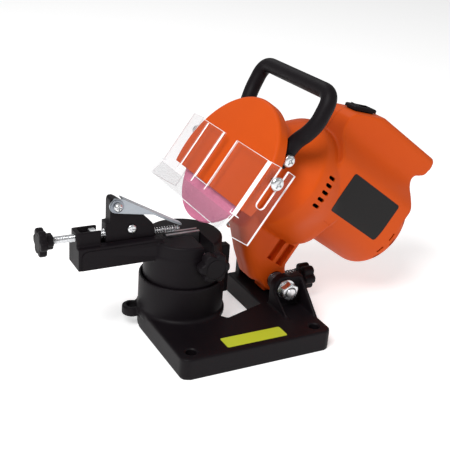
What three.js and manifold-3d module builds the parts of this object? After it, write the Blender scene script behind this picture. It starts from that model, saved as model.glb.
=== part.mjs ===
// Bench chain sharpener: a cast base with a swivelling chain vice, and a sprung grinding head.
// Millimetres, +Z up. The origin lies on the bench, straight under the head hinge.
// +X points to the motor end, -Y to the user, and the wheel and vice share the plane Y = 0.
import * as THREE from 'three';
import { mergeVertices } from 'three/addons/utils/BufferGeometryUtils.js';
import Module from 'manifold-3d';

const wasm = await Module();
wasm.setup();

// Fits that every piece shares
const seat = 0.3;
const overrun = 1;
const headSides = 20;
const shankSides = 16;
const bend = Math.PI / 2;
const turn = 2 * Math.PI;

// Base casting
const base = {
  width: 128, right: 15.8, front: 82, back: 36, height: 17, top: 4, wall: 3.5, corner: 7,
  platformWidth: 32, bridgeBackRight: 23, bridgeBackLeft: 34.6, bridgeLeft: 60,
  ribPitch: 42, ribWall: 3, holeRadius: 4.2, holeInset: 10.8, earX: -114.7, earY: 11, earRadius: 8.2,
  earThick: 7.6,
};
const cup = { x: -77.8, radius: 34, inner: 31.8, height: 45, floor: 5, boltPocket: 13 };
const post = { offset: 32, thick: 8.6, width: 8, foot: 22, top: 64 };
const lug = {
  y: 33, thick: 8, radius: 10.5, top: 41.5, ribWall: 3, ribFoot: 23, outerRibFoot: 27, ribTop: 31,
};
const hinge = {
  z: 32.3, boltRadius: 4, bushRadius: 7, washer: 8, washerThick: 1.6, nutFlat: 13, nutThick: 6.5,
};
const stopWall = { left: 11.2, top: 31 };

// Depth stop behind the hinge
const depth = {
  z: 21.5, radius: 4, travel: 1.2, knobX: 35, knobRadius: 11.2, knobThick: 10, hub: 6.5, hubLength: 3,
  lobes: 6, lobeDepth: 2.2, spring: 6.6, wire: 1.3,
};

// Chain vice on the swivel
const drum = { radius: 30.8, top: 78.5, boltRadius: 4, boltHead: 6.5, boltHeadThick: 5.3, thread: 30 };
const arm = { left: -166.5, half: 12, bottom: 64.3, top: 81.7, wall: 3, reach: -100 };
const channel = { length: 18.8, half: 6.6, groove: 4.4, top: 92.8, endWall: 3.5 };
const rail = { left: -94, right: -65.8, top: 80.3, bottom: 57, thick: 1.8, gap: 1.3, jaw: 2.4, rooms: 2.2 };
const clampStop = {
  x: -69.7, z: 65, radius: 4, slot: 9.4, knobBack: 33.2, knobThick: 9.2, knobRadius: 12.4,
  hub: 6.5, hubLength: 1, lobes: 6, lobeDepth: 2.4,
};
const adjuster = {
  z: 87, radius: 3, knobX: -193.9, knobRadius: 10.8, knobThick: 5.6, hub: 6.1, hubLength: 5.3, lobes: 6,
  lobeDepth: 2.2,
  nutX: -155, nutThick: 5, nutWidth: 8.2, collar: 4.2, collarLength: 3,
};

// Stop carriage and its pawl
const carriage = {
  left: -140.5, right: -104.2, bottom: 82, half: 5, tongue: 2.6, tongueDrop: 5, heel: 3.2, heelTop: 97,
  shoulder: 112.4, crown: 116.2, crownEnd: -134.5, slopeX: -113.8, slopeZ: 100, noseX: -106.2, noseZ: 92.6,
  noseFoot: 87, crownWidth: 4,
};
const pawl = {
  pivotX: -136.1, pivotZ: 110.6, thick: 1.5, flangeThick: 1.3, flangeBack: 3, tipX: -81, tipZ: 87.7,
  bladeEnd: -105.7, washer: 5.2, washerThick: 0.8, screwHead: 3.4, screwHeadThick: 3.6, screwRadius: 2,
};
const blockScrew = { x: -123.5, z: 90.6, head: 3.6, headThick: 2, radius: 1.8, reach: 4 };
const stopRod = { z: 83.7, radius: 0.9, end: -82, spring: 2.1, wire: 0.6, tip: 1.6, tipLength: 2 };

// Grinding head: u runs back along the motor, v runs up the wheel's face, from the guard's front face
const head = { tilt: 35, pivotU: 98.6, pivotV: -57.1 };
const wheel = {
  radius: 50, thick: 3.2, front: 5, bore: 5, flange: 15, flangeThick: 1, innerFlangeThick: 2.4,
};
const spindle = { radius: 4, end: 104.5, nutFlat: 13, nutFront: 1.9, front: 1.9, collar: 7 };
const guard = { radius: 61, centreY: 0.6, centreV: -4.5, depth: 9.6, wall: 1.6, chord: -22, edge: 3.6 };
const backPlate = { radius: 58.5, thick: 1.8, spindleHole: 9 };
const housing = {
  wall: 2.6, front: 12, neck: 31.2, neckEnd: 30, drumV: 19, drumRadius: 48, drumStart: 52, drumEnd: 91,
  shoulderEnd: 98, shoulderRadius: 30, seatLength: 9.6, seatRing: 14.5,
};
const barrel = {
  v: 27.6, radius: 39.8, end: 167.5, domeStart: 159.5, flatTop: 50, spineHalf: 18, spineTop: 102.4,
  spineEnd: 171,
  valley: 79, spineStart: 66, spineRise: 90, crestU: 100, spineCorner: 6,
};
const bulkhead = { start: 98, thick: 7, rearStart: 153, rearThick: 6.4 };
const bearing = { radius: 11, bore: 4.3, width: 6.4 };
const limb = {
  half: 16, front: 42, foot: 10.6, back: 99.6, slotDepth: 6, slotWidth: 7,
  heel: 8.4, heelHalf: 8, heelFoot: 18.2,
};
const vent = { u: 64, top: 35.6, pitch: 6.1, count: 5, length: 6.5, width: 2.6 };
const motor = {
  statorDepth: 14.5, statorStart: 115, statorLength: 23, core: 21.6, coreInset: 1, shaft: 4,
  shaftStart: 82, shaftEnd: 158, fanRoom: 4.2, fanStart: 106.5, fanThick: 1.6, fanBlade: 4.4,
  fanBlades: 8, bladeThick: 1.6,
  fanHub: 9, commutator: 11, commutatorStart: 141, commutatorLength: 10, brush: 4.6, brushWidth: 8,
};
const gears = { start: 84, width: 8, pinionTeeth: 10, gearTeeth: 30, hub: 9, hubLength: 3.4 };
const handle = {
  u: 18.4, radius: 6.2, barV: 84.6, forward: 4, half: 50, corner: 12, kneeV: 58, footHalf: 38.6,
  footBendV: 42, footV: 20,
  screwV: 27, screwRadius: 2.5, screwHead: 5, screwHeadThick: 3.4, screwReach: 22, boss: 6,
};
const visor = {
  half: 64.2, thick: 2, gap: 6.6, top: 18.5, bend: -26, lipU: -12, lipV: -41, sideBack: 18, slotHalf: 3.4,
  slotBottom: -14, screwU: 7, screwV: 8, screwRadius: 2.4, screwHead: 5.2, screwHeadThick: 2.8,
  screwReach: 8, sideTop: 20, sideBottom: -41,
  notchNear: -13.6, notchFar: 5.5, notchFoot: -22,
};
const rocker = {
  u: 84, v: 96.6, tilt: 22, length: 22.4, width: 15.4, frame: 1.9, rim: 1.6, body: 14, key: 15.4,
  keyWidth: 9.6, keyThick: 7, lean: 10,
};
const gland = { v: 40, radius: 6, bore: 3.2, length: 9, flange: 8.5, flangeThick: 2 };
const shellScrew = { radius: 2, head: 3.6, headThick: 2, reach: 12 };

// Colours, roughness and metalness of the finishes
const finish = {
  blackPlastic: { color: 0x232024, roughness: 0.55, metalness: 0 },
  orangePlastic: { color: 0xe0561f, roughness: 0.5, metalness: 0 },
  zinc: { color: 0xb9bcc0, roughness: 0.3, metalness: 0.9 },
  steel: { color: 0x9a9da1, roughness: 0.35, metalness: 0.95 },
  abrasive: { color: 0xec8cb9, roughness: 0.9, metalness: 0 },
  clear: { color: 0xe6eaee, roughness: 0.08, metalness: 0 },
  copper: { color: 0xb8703a, roughness: 0.4, metalness: 0.9 },
  greyPlastic: { color: 0x8d9094, roughness: 0.5, metalness: 0 },
  carbon: { color: 0x2a2a2a, roughness: 0.7, metalness: 0 },
};

// Turning three.js geometry into solids that can be joined and cut
function trianglesOf(geometry) {
  const bare = geometry.clone();
  bare.deleteAttribute('normal');
  bare.deleteAttribute('uv');
  const merged = mergeVertices(bare);
  const points = Float32Array.from(merged.attributes.position.array);
  const kept = [];
  const index = merged.index.array;
  for (let i = 0; i < index.length; i += 3) {
    const [a, b, c] = [index[i], index[i + 1], index[i + 2]];
    if (a !== b && b !== c && c !== a) kept.push(a, b, c);
  }
  return { points, triangles: Uint32Array.from(kept) };
}

function signedVolume(points, triangles) {
  const [a, b, c] = [new THREE.Vector3(), new THREE.Vector3(), new THREE.Vector3()];
  let sum = 0;
  for (let i = 0; i < triangles.length; i += 3) {
    a.fromArray(points, 3 * triangles[i]);
    b.fromArray(points, 3 * triangles[i + 1]);
    c.fromArray(points, 3 * triangles[i + 2]);
    sum += a.dot(b.cross(c));
  }
  return sum / 6;
}

function solid(geometry) {
  const { points, triangles } = trianglesOf(geometry);
  if (signedVolume(points, triangles) < 0) {
    for (let i = 0; i < triangles.length; i += 3) {
      [triangles[i + 1], triangles[i + 2]] = [triangles[i + 2], triangles[i + 1]];
    }
  }
  return new wasm.Manifold(new wasm.Mesh({ numProp: 3, vertProperties: points, triVerts: triangles }));
}

function geometryOf(body) {
  const made = body.getMesh();
  const geometry = new THREE.BufferGeometry();
  geometry.setAttribute('position', new THREE.BufferAttribute(Float32Array.from(made.vertProperties), 3));
  geometry.setIndex(new THREE.BufferAttribute(Uint32Array.from(made.triVerts), 1));
  geometry.computeVertexNormals();
  return geometry;
}

const join = (...bodies) => bodies.reduce((whole, next) => whole.add(next));
const cut = (body, ...tools) => tools.reduce((rest, tool) => rest.subtract(tool), body);

// Basic forms, each placed by its limits along the three axes
function block(x0, x1, y0, y1, z0, z1) {
  const box = new THREE.BoxGeometry(x1 - x0, y1 - y0, z1 - z0);
  box.translate((x0 + x1) / 2, (y0 + y1) / 2, (z0 + z1) / 2);
  return solid(box);
}

function along(geometry, axis) {
  if (axis === 'x') geometry.rotateZ(-bend);
  if (axis === 'z') geometry.rotateX(bend);
  return geometry;
}

function centred(geometry, axis, middle, p, q) {
  if (axis === 'x') geometry.translate(middle, p, q);
  if (axis === 'y') geometry.translate(p, middle, q);
  if (axis === 'z') geometry.translate(p, q, middle);
  return geometry;
}

function rod(axis, radius, from, to, p = 0, q = 0, sides = 22, endRadius = radius) {
  const shape = new THREE.CylinderGeometry(endRadius, radius, to - from, sides);
  return solid(centred(along(shape, axis), axis, (from + to) / 2, p, q));
}

function turned(axis, profile, p = 0, q = 0, sides = 40) {
  const points = profile.map(([place, radius]) => new THREE.Vector2(radius, place));
  return solid(centred(along(new THREE.LatheGeometry(points, sides), axis), axis, 0, p, q));
}

function outlineOf(points) {
  return new THREE.Shape(points.map(([p, q]) => new THREE.Vector2(p, q)));
}

// An outline in (x, y), (x, z) or (y, z), drawn out along the axis that is left
function drawn(axis, points, from, to) {
  const shape = points instanceof THREE.Shape ? points : outlineOf(points);
  const geometry = new THREE.ExtrudeGeometry(
    shape, { depth: to - from, bevelEnabled: false, curveSegments: 10 },
  );
  const X = new THREE.Vector3(1, 0, 0);
  const Y = new THREE.Vector3(0, 1, 0);
  const Z = new THREE.Vector3(0, 0, 1);
  const turnTo = new THREE.Matrix4();
  if (axis === 'y') turnTo.makeBasis(X, Z, Y.clone().negate()).setPosition(0, to, 0);
  if (axis === 'x') turnTo.makeBasis(Y, Z, X).setPosition(from, 0, 0);
  if (axis === 'z') turnTo.setPosition(0, 0, from);
  return solid(geometry.applyMatrix4(turnTo));
}

function arcPoints(p, q, radius, start, end, steps) {
  return Array.from({ length: steps + 1 }, (_, i) => {
    const angle = start + ((end - start) * i) / steps;
    return [p + radius * Math.cos(angle), q + radius * Math.sin(angle)];
  });
}

function hexagon(p, q, flat, phase = 0) {
  return arcPoints(p, q, flat / Math.sqrt(3), phase, phase + turn, 6).slice(0, 6);
}

function roundedBox(p0, p1, q0, q1, radius) {
  return [
    ...arcPoints(p1 - radius, q0 + radius, radius, -bend, 0, 4),
    ...arcPoints(p1 - radius, q1 - radius, radius, 0, bend, 4),
    ...arcPoints(p0 + radius, q1 - radius, radius, bend, 2 * bend, 4),
    ...arcPoints(p0 + radius, q0 + radius, radius, 2 * bend, 3 * bend, 4),
  ];
}

// Hand knob outline: a round with shallow hollows between its lobes
function lobed(p, q, radius, lobes, hollow) {
  const steps = 6 * lobes;
  return Array.from({ length: steps }, (_, i) => {
    const angle = (turn * i) / steps;
    const r = radius - hollow * Math.pow(Math.sin((lobes * angle) / 2), 4);
    return [p + r * Math.cos(angle), q + r * Math.sin(angle)];
  });
}

// A spring: one unbroken tube of five sides round a helix, with a straight end one wire long
const springSteps = 8;
const springSides = 5;
function spring(axis, radius, wire, from, to, curls, p, q, label) {
  const places = [];
  const total = springSteps * curls;
  const start = from + wire / 2;
  const rise = (to - from - wire) / total;
  for (let i = 0; i <= total; i += 1) {
    const angle = (turn * i) / springSteps;
    places.push(new THREE.Vector3(start + rise * i, radius * Math.cos(angle), radius * Math.sin(angle)));
  }
  const away = new THREE.Vector3(0, 0, wire);
  places.unshift(places[0].clone().sub(away));
  places.push(places[places.length - 1].clone().add(away));
  const positions = [];
  const count = places.length;
  for (let i = 0; i < count; i += 1) {
    const tangent = places[Math.min(i + 1, count - 1)].clone().sub(places[Math.max(i - 1, 0)]).normalize();
    const side = new THREE.Vector3(1, 0, 0).addScaledVector(tangent, -tangent.x).normalize();
    const other = tangent.clone().cross(side);
    for (let k = 0; k < springSides; k += 1) {
      const angle = (turn * k) / springSides;
      const point = places[i].clone();
      point.addScaledVector(side, (wire / 2) * Math.cos(angle));
      point.addScaledVector(other, (wire / 2) * Math.sin(angle));
      positions.push(...point.toArray());
    }
  }
  const index = [];
  for (let i = 0; i < count - 1; i += 1) {
    for (let k = 0; k < springSides; k += 1) {
      const here = i * springSides + k;
      const beside = i * springSides + ((k + 1) % springSides);
      index.push(here, beside, beside + springSides, here, beside + springSides, here + springSides);
    }
  }
  const last = (count - 1) * springSides;
  for (let k = 1; k < springSides - 1; k += 1) {
    index.push(0, k + 1, k, last, last + k, last + k + 1);
  }
  const geometry = new THREE.BufferGeometry();
  geometry.setAttribute('position', new THREE.Float32BufferAttribute(positions, 3));
  geometry.setIndex(index);
  if (axis === 'y') geometry.rotateZ(bend);
  centred(geometry, axis, 0, p, q);
  const gap = leastGap(places, wire);
  console.log(`${label}: least gap between curls ${gap.toFixed(2)} mm`);
  return solid(geometry);
}

function leastGap(places, wire) {
  let least = Infinity;
  for (let i = 0; i < places.length; i += 1) {
    for (let k = i + springSteps - 2; k < places.length; k += 1) {
      least = Math.min(least, places[i].distanceTo(places[k]) - wire);
    }
  }
  return least;
}

// The finished scene graph
const sharpener = new THREE.Group();

function place(parent, name, body, look) {
  const mesh = new THREE.Mesh(geometryOf(body), new THREE.MeshStandardMaterial(look));
  mesh.name = name;
  parent.add(mesh);
  return mesh;
}

// Base: front plate, hinge platform, swivel cup, fixing ear, hinge lugs and stop wall in one moulding
const baseLeft = base.right - base.width;
const platformLeft = base.right - base.platformWidth;

function baseOutline() {
  const r = base.corner;
  return [
    ...arcPoints(baseLeft + r, -base.front + r, r, -2 * bend, -bend, 5),
    ...arcPoints(base.right - r, -base.front + r, r, -bend, 0, 5),
    [base.right, base.back],
    [platformLeft, base.back],
    [platformLeft, -base.bridgeBackRight],
    [platformLeft - base.bridgeLeft * 0.6, -base.bridgeBackLeft],
    [cup.x, 0],
    [baseLeft, 0],
  ];
}

function plateHollows() {
  const hollows = [];
  const left = baseLeft + base.wall;
  const right = base.right - base.wall;
  const bays = Math.round((right - left) / base.ribPitch);
  const pitch = (right - left + base.ribWall) / bays;
  for (let i = 0; i < bays; i += 1) {
    const x0 = left + i * pitch;
    const x1 = x0 + pitch - base.ribWall;
    hollows.push(block(
      x0, x1, base.wall - base.front, -cup.radius - base.wall, -overrun, base.height - base.top,
    ));
  }
  return join(...hollows);
}

function fixingHole(x, y) {
  return rod('z', base.holeRadius, -overrun, base.height + overrun, x, y, headSides);
}

function fixingBoss(x, y) {
  return rod('z', base.holeRadius + base.wall, 0, base.height, x, y, headSides);
}

const holeLeft = baseLeft + base.holeInset;
const holeRight = base.right - base.holeInset;
const holeFront = base.holeInset - base.front;

function hingeLug(side) {
  const near = side * lug.y;
  const far = side * (lug.y - lug.thick);
  const [y0, y1] = [Math.min(near, far), Math.max(near, far)];
  const plate = block(-lug.radius, base.right, y0, y1, base.height - overrun, lug.top);
  const slope = drawn('y', [
    [-lug.radius - overrun, hinge.z],
    [-lug.radius * Math.SQRT1_2, hinge.z + lug.radius * Math.SQRT1_2],
    [0, hinge.z + lug.radius],
    [0, lug.top + lug.radius],
    [-lug.radius - overrun, lug.top + lug.radius],
  ], y0 - overrun, y1 + overrun);
  return join(cut(plate, slope), rod('y', lug.radius, y0, y1, 0, hinge.z));
}

function lugRib(x0, width, foot, top) {
  const root = overrun - lug.y;
  return drawn('x', [
    [root, base.height - overrun],
    [-lug.y - foot, base.height - overrun],
    [-lug.y - foot, base.height],
    [-lug.y, top],
    [root, top],
  ], x0, x0 + width);
}

function baseCasting() {
  const plate = cut(drawn('z', baseOutline(), 0, base.height), plateHollows());
  const tower = rod('z', cup.radius, 0, cup.height, cup.x, 0, 48);
  const well = rod('z', cup.inner, base.height + cup.floor, cup.height + overrun, cup.x, 0, 48);
  const earFoot = base.height - base.earThick;
  const ear = join(
    rod('z', base.earRadius, earFoot, base.height, base.earX, base.earY, 24),
    block(
      base.earX, cup.x - cup.inner + overrun, base.earY - base.earRadius, base.earY, earFoot,
      base.height,
    ),
  );
  const mark = block(
    cup.x + post.offset, cup.x + post.offset + post.thick, -post.width / 2, post.width / 2, post.foot,
    post.top,
  );
  const wall = block(
    stopWall.left, base.right, -lug.y + overrun, lug.y - overrun, base.height - overrun, stopWall.top,
  );
  const raised = join(
    plate, tower, ear, mark, wall,
    fixingBoss(holeLeft, holeFront), fixingBoss(holeRight, holeFront),
    hingeLug(-1), hingeLug(1),
    lugRib(-lug.radius, lug.radius - hinge.washer - seat, lug.ribFoot, lug.ribTop),
    lugRib(base.right - lug.ribWall, lug.ribWall, lug.outerRibFoot, lug.top),
  );
  const pocket = rod('z', cup.boltPocket, -overrun, base.height, cup.x, 0, 32);
  const boltHole = rod('z', drum.boltRadius + seat, 0, base.height + cup.floor + overrun, cup.x, 0);
  return cut(
    raised, well, pocket, boltHole,
    fixingHole(holeLeft, holeFront), fixingHole(holeRight, holeFront), fixingHole(base.earX, base.earY),
    rod('y', hinge.boltRadius + seat, -lug.y - overrun, lug.y + overrun, 0, hinge.z),
    rod('x', depth.radius + seat, 0, base.right + overrun, 0, depth.z),
  );
}

place(sharpener, 'base_casting', baseCasting(), finish.blackPlastic);

// Hinge bolt, run through both lugs, with its washer and nut on the user's side
const washerBack = -lug.y - seat;
const washerFront = washerBack - hinge.washerThick;
const nutBack = washerFront - seat;
const nutFront = nutBack - hinge.nutThick;

function ringAlong(axis, outer, inner, from, to, p, q, sides = 22) {
  return cut(
    rod(axis, outer, from, to, p, q, sides),
    rod(axis, inner, from - overrun, to + overrun, p, q, sides),
  );
}

const hingeBolt = join(
  rod('y', hinge.boltRadius, nutFront - overrun, lug.y + seat + overrun, 0, hinge.z),
  drawn('y', hexagon(0, hinge.z, hinge.nutFlat), lug.y + seat, lug.y + seat + hinge.nutThick),
);
place(sharpener, 'hinge_bolt', hingeBolt, finish.zinc);
const hingeWasher = ringAlong(
  'y', hinge.washer, hinge.boltRadius + seat, washerFront, washerBack, 0, hinge.z,
);
place(sharpener, 'hinge_washer', hingeWasher, finish.zinc);
const hingeNut = cut(
  drawn('y', hexagon(0, hinge.z, hinge.nutFlat, bend / 3), nutFront, nutBack),
  rod('y', hinge.boltRadius + seat, nutFront - overrun, nutBack + overrun, 0, hinge.z),
);
place(sharpener, 'hinge_nut', hingeNut, finish.zinc);

// Lifting spring on the hinge bolt, and the spacer tube on the other side of the head's limb
const lugFace = lug.y - lug.thick;
const liftSpring = spring(
  'y', hinge.bushRadius, depth.wire, -lugFace + seat, -limb.half - seat, 4, 0, hinge.z, 'lift_spring',
);
place(sharpener, 'lift_spring', liftSpring, finish.steel);
const spacer = ringAlong(
  'y', hinge.bushRadius, hinge.boltRadius + seat, limb.half + seat, lugFace - seat, 0, hinge.z,
);
place(sharpener, 'hinge_spacer', spacer, finish.zinc);

// Depth stop: a screw through the stop wall with a spring under its knob, which meets the limb's heel
function knob(axis, from, to, hub, hubEnd, p, q, size) {
  const grip = drawn(axis, lobed(p, q, size.knobRadius, size.lobes, size.lobeDepth), from, to);
  const [h0, h1] = [Math.min(hub, hubEnd), Math.max(hub, hubEnd)];
  return join(grip, rod(axis, size.hub, h0, h1, p, q));
}

const heelFace = limb.heel;
const depthTip = heelFace + depth.travel + seat;
const depthScrew = rod('x', depth.radius, depthTip, depth.knobX - seat, 0, depth.z);
place(sharpener, 'depth_screw', depthScrew, finish.zinc);
const depthKnob = cut(
  knob(
    'x', depth.knobX, depth.knobX + depth.knobThick, depth.knobX - depth.hubLength, depth.knobX + overrun,
    0, depth.z, depth,
  ),
  rod('x', depth.radius + seat, depth.knobX - depth.hubLength - overrun, depth.knobX, 0, depth.z),
);
place(sharpener, 'depth_knob', depthKnob, finish.blackPlastic);
const depthSpring = spring(
  'x', depth.spring, depth.wire, base.right + seat, depth.knobX - depth.hubLength - seat, 5, 0, depth.z,
  'depth_spring',
);
place(sharpener, 'depth_spring', depthSpring, finish.steel);

// Chain vice: a drum that turns in the cup, with the arm that carries the stop carriage
const drumFoot = base.height + cup.floor + seat;

function viceBody() {
  const round = rod('z', drum.radius, drumFoot, drum.top, cup.x, 0, 48);
  const beam = block(arm.left, arm.reach, -arm.half, arm.half, arm.bottom, arm.top);
  const guide = block(
    arm.left, arm.left + channel.length, -channel.half, channel.half, arm.top - overrun, channel.top,
  );
  const whole = join(round, beam, guide);
  const armEnd = cup.x - drum.radius;
  return cut(
    whole,
    block(arm.left + arm.wall, armEnd, arm.wall - arm.half, arm.half - arm.wall, arm.bottom - overrun,
      arm.top - carriage.tongueDrop - arm.wall),
    block(arm.left + channel.endWall, arm.left + channel.length + overrun, -channel.groove, channel.groove,
      arm.top, channel.top + overrun),
    block(arm.left + channel.length, arm.reach + overrun, -carriage.tongue - seat, carriage.tongue + seat,
      arm.top - carriage.tongueDrop, arm.top + overrun),
    rod(
      'x', adjuster.radius + seat, arm.left - overrun, arm.left + channel.endWall + overrun, 0,
      adjuster.z,
    ),
    block(
      rail.left - seat, rail.right + seat, -rail.gap - rail.jaw - rail.rooms,
      rail.gap + rail.thick + seat, rail.bottom - seat, drum.top + overrun,
    ),
    block(
      clampStop.x - clampStop.slot / 2, clampStop.x + clampStop.slot / 2, -drum.radius - overrun,
      -rail.gap, clampStop.z - clampStop.slot / 2, drum.top + overrun,
    ),
    rod('z', drum.boltRadius + seat, drumFoot - overrun, drumFoot + drum.thread, cup.x, 0),
  );
}

place(sharpener, 'vice_body', viceBody(), finish.blackPlastic);

// Swivel screw under the cup: its head and washer hold the drum down on the cup's floor
const swivelWasherTop = base.height - seat;
const swivelWasherFoot = swivelWasherTop - hinge.washerThick;
const swivelHeadTop = swivelWasherFoot - seat;
const swivelScrew = join(
  rod('z', drum.boltRadius, swivelHeadTop - overrun, drumFoot + drum.thread - seat, cup.x, 0),
  drawn('z', hexagon(cup.x, 0, 2 * drum.boltHead), swivelHeadTop - drum.boltHeadThick, swivelHeadTop),
);
place(sharpener, 'swivel_screw', swivelScrew, finish.zinc);
const swivelWasher = ringAlong(
  'z', cup.boltPocket - seat, drum.boltRadius + seat, swivelWasherFoot, swivelWasherTop, cup.x, 0,
);
place(sharpener, 'swivel_washer', swivelWasher, finish.zinc);

// Chain rails: the far one is fixed, and the near one is the jaw that the clamp screw presses
const fixedRail = block(rail.left, rail.right, rail.gap, rail.gap + rail.thick, rail.bottom, rail.top);
place(sharpener, 'fixed_rail', fixedRail, finish.steel);
const jawFace = -rail.gap - rail.jaw;
const jaw = block(rail.left, rail.right, jawFace, -rail.gap, rail.bottom, rail.top);
place(sharpener, 'clamp_jaw', jaw, finish.steel);
const clampTip = jawFace - seat;
const clampKnobFront = -clampStop.knobBack - clampStop.knobThick;
const clampScrew = rod(
  'y', clampStop.radius, -clampStop.knobBack - overrun, clampTip, clampStop.x, clampStop.z,
);
place(sharpener, 'clamp_screw', clampScrew, finish.zinc);
const clampKnob = cut(
  knob(
    'y', clampKnobFront, -clampStop.knobBack, -clampStop.knobBack - overrun,
    clampStop.hubLength - clampStop.knobBack,
    clampStop.x, clampStop.z, clampStop,
  ),
  rod('y', clampStop.radius + seat, -clampStop.knobBack - overrun - seat, 0, clampStop.x, clampStop.z),
);
place(sharpener, 'clamp_knob', clampKnob, finish.blackPlastic);

// Feed screw of the stop carriage, with its knob, and the nut held in the arm's channel
const feedTip = carriage.left + adjuster.collarLength - carriage.heel;
const feedScrew = join(
  rod('x', adjuster.radius, adjuster.knobX + adjuster.knobThick, feedTip, 0, adjuster.z),
  rod('x', adjuster.collar, carriage.left - carriage.heel + seat, feedTip, 0, adjuster.z),
);
place(sharpener, 'feed_screw', feedScrew, finish.zinc);
const feedHubEnd = adjuster.knobX + adjuster.knobThick + adjuster.hubLength;
const feedKnob = cut(
  knob(
    'x', adjuster.knobX, adjuster.knobX + adjuster.knobThick, adjuster.knobX + overrun, feedHubEnd, 0,
    adjuster.z,
    adjuster,
  ),
  rod(
    'x', adjuster.radius + seat, adjuster.knobX + adjuster.knobThick - seat, feedHubEnd + overrun, 0,
    adjuster.z,
  ),
);
place(sharpener, 'feed_knob', feedKnob, finish.blackPlastic);
const feedNut = cut(
  block(
    adjuster.nutX, adjuster.nutX + adjuster.nutThick, -adjuster.nutWidth / 2, adjuster.nutWidth / 2,
    arm.top + seat, channel.top - overrun,
  ),
  rod(
    'x', adjuster.radius + seat, adjuster.nutX - overrun, adjuster.nutX + adjuster.nutThick + overrun,
    0, adjuster.z,
  ),
);
place(sharpener, 'feed_nut', feedNut, finish.zinc);

// Stop carriage on the arm
function carriageBlock() {
  const { left, right, half, crown, crownEnd, shoulder } = carriage;
  const body = drawn('y', [
    [left, carriage.bottom],
    [right, carriage.bottom],
    [right, carriage.noseFoot],
    [carriage.noseX, carriage.noseZ],
    [carriage.slopeX, carriage.slopeZ],
    [crownEnd, crown - carriage.crownWidth / 4],
    [crownEnd - carriage.crownWidth / 2, crown],
    [left + carriage.crownWidth / 4, crown - carriage.crownWidth / 4],
    [left, shoulder],
  ], -half, half);
  const heel = block(left - carriage.heel, left + overrun, -half, half, carriage.bottom, carriage.heelTop);
  const tongue = block(
    left, right, -carriage.tongue, carriage.tongue, arm.top - carriage.tongueDrop + seat,
    carriage.bottom + overrun,
  );
  return cut(
    join(body, heel, tongue),
    rod('x', adjuster.collar + seat, left - carriage.heel - overrun, feedTip + seat, 0, adjuster.z),
    rod('y', pawl.screwRadius + seat, -half - overrun, 0, pawl.pivotX, pawl.pivotZ),
    rod('y', blockScrew.radius + seat, -half - overrun, 0, blockScrew.x, blockScrew.z),
    rod('x', stopRod.radius + seat, carriage.slopeX, right + overrun, 0, stopRod.z),
  );
}

place(sharpener, 'stop_carriage', carriageBlock(), finish.blackPlastic);
const bladeBack = -carriage.half - seat;
const bladeFront = bladeBack - pawl.thick;
const pawlWasherFront = bladeFront - seat - pawl.washerThick;
const pawlWasher = ringAlong(
  'y', pawl.washer, pawl.screwRadius + seat, pawlWasherFront, bladeFront - seat, pawl.pivotX, pawl.pivotZ,
);
place(sharpener, 'pawl_washer', pawlWasher, finish.zinc);
const pawlScrewBack = pawlWasherFront - seat;
const pawlScrew = join(
  rod(
    'y', pawl.screwHead, pawlScrewBack - pawl.screwHeadThick, pawlScrewBack, pawl.pivotX, pawl.pivotZ,
    headSides,
  ),
  rod('y', pawl.screwRadius, pawlScrewBack - overrun, -overrun, pawl.pivotX, pawl.pivotZ, shankSides),
);
place(sharpener, 'pawl_screw', pawlScrew, finish.zinc);
const blockScrewBack = -carriage.half - seat;
const carriageScrew = join(
  rod(
    'y', blockScrew.head, blockScrewBack - blockScrew.headThick, blockScrewBack, blockScrew.x,
    blockScrew.z, headSides,
  ),
  rod(
    'y', blockScrew.radius, blockScrewBack - overrun, blockScrewBack + blockScrew.reach, blockScrew.x,
    blockScrew.z, shankSides,
  ),
);
place(sharpener, 'carriage_screw', carriageScrew, finish.zinc);
const rodStart = carriage.slopeX + seat;
const guideRod = join(
  rod('x', stopRod.radius, rodStart, stopRod.end, 0, stopRod.z, 12),
  rod('x', stopRod.tip, stopRod.end - stopRod.tipLength, stopRod.end, 0, stopRod.z, 12),
);
place(sharpener, 'stop_rod', guideRod, finish.steel);
const stopSpring = spring(
  'x', stopRod.spring, stopRod.wire, carriage.right + seat, stopRod.end - stopRod.tipLength - seat, 9,
  0, stopRod.z,
  'stop_spring',
);
place(sharpener, 'stop_spring', stopSpring, finish.steel);

// Pawl: a flat blade on the carriage's near side, whose folded top edge runs on as the finger
function pawlBlade() {
  const { pivotX: x, pivotZ: z, bladeEnd, washer, tipX, tipZ, flangeThick } = pawl;
  const r = washer + seat;
  const startX = carriage.crownEnd + carriage.crownWidth - seat;
  const slope = Math.atan2(carriage.crown - overrun - tipZ, startX - tipX);
  const topAt = (place) => tipZ + (place - tipX) * Math.tan(slope);
  const blade = drawn('y', [
    ...arcPoints(x, z, r, bend * 1.8, bend * 2.9, 6),
    [bladeEnd, topAt(bladeEnd) - flangeThick],
    [bladeEnd, topAt(bladeEnd)],
    [startX, topAt(startX)],
    [x - r / 3, topAt(startX) + flangeThick],
  ], bladeFront, bladeBack);
  const finger = drawn('y', [
    [startX, topAt(startX) - flangeThick],
    [tipX - flangeThick, topAt(tipX) - flangeThick],
    [tipX + flangeThick / 2, topAt(tipX) - flangeThick],
    [tipX, topAt(tipX)],
    [startX, topAt(startX)],
  ], bladeFront, pawl.flangeBack);
  const taper = drawn('z', [
    [bladeEnd, bladeFront - overrun],
    [tipX + washer, bladeFront - overrun],
    [tipX + washer, -overrun / 2],
  ], carriage.bottom, carriage.crown + washer);
  const hole = rod('y', pawl.screwRadius + seat, bladeFront - overrun, bladeBack + overrun, x, z);
  return cut(join(blade, cut(finger, taper)), hole);
}

place(sharpener, 'pawl', pawlBlade(), finish.steel);

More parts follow.
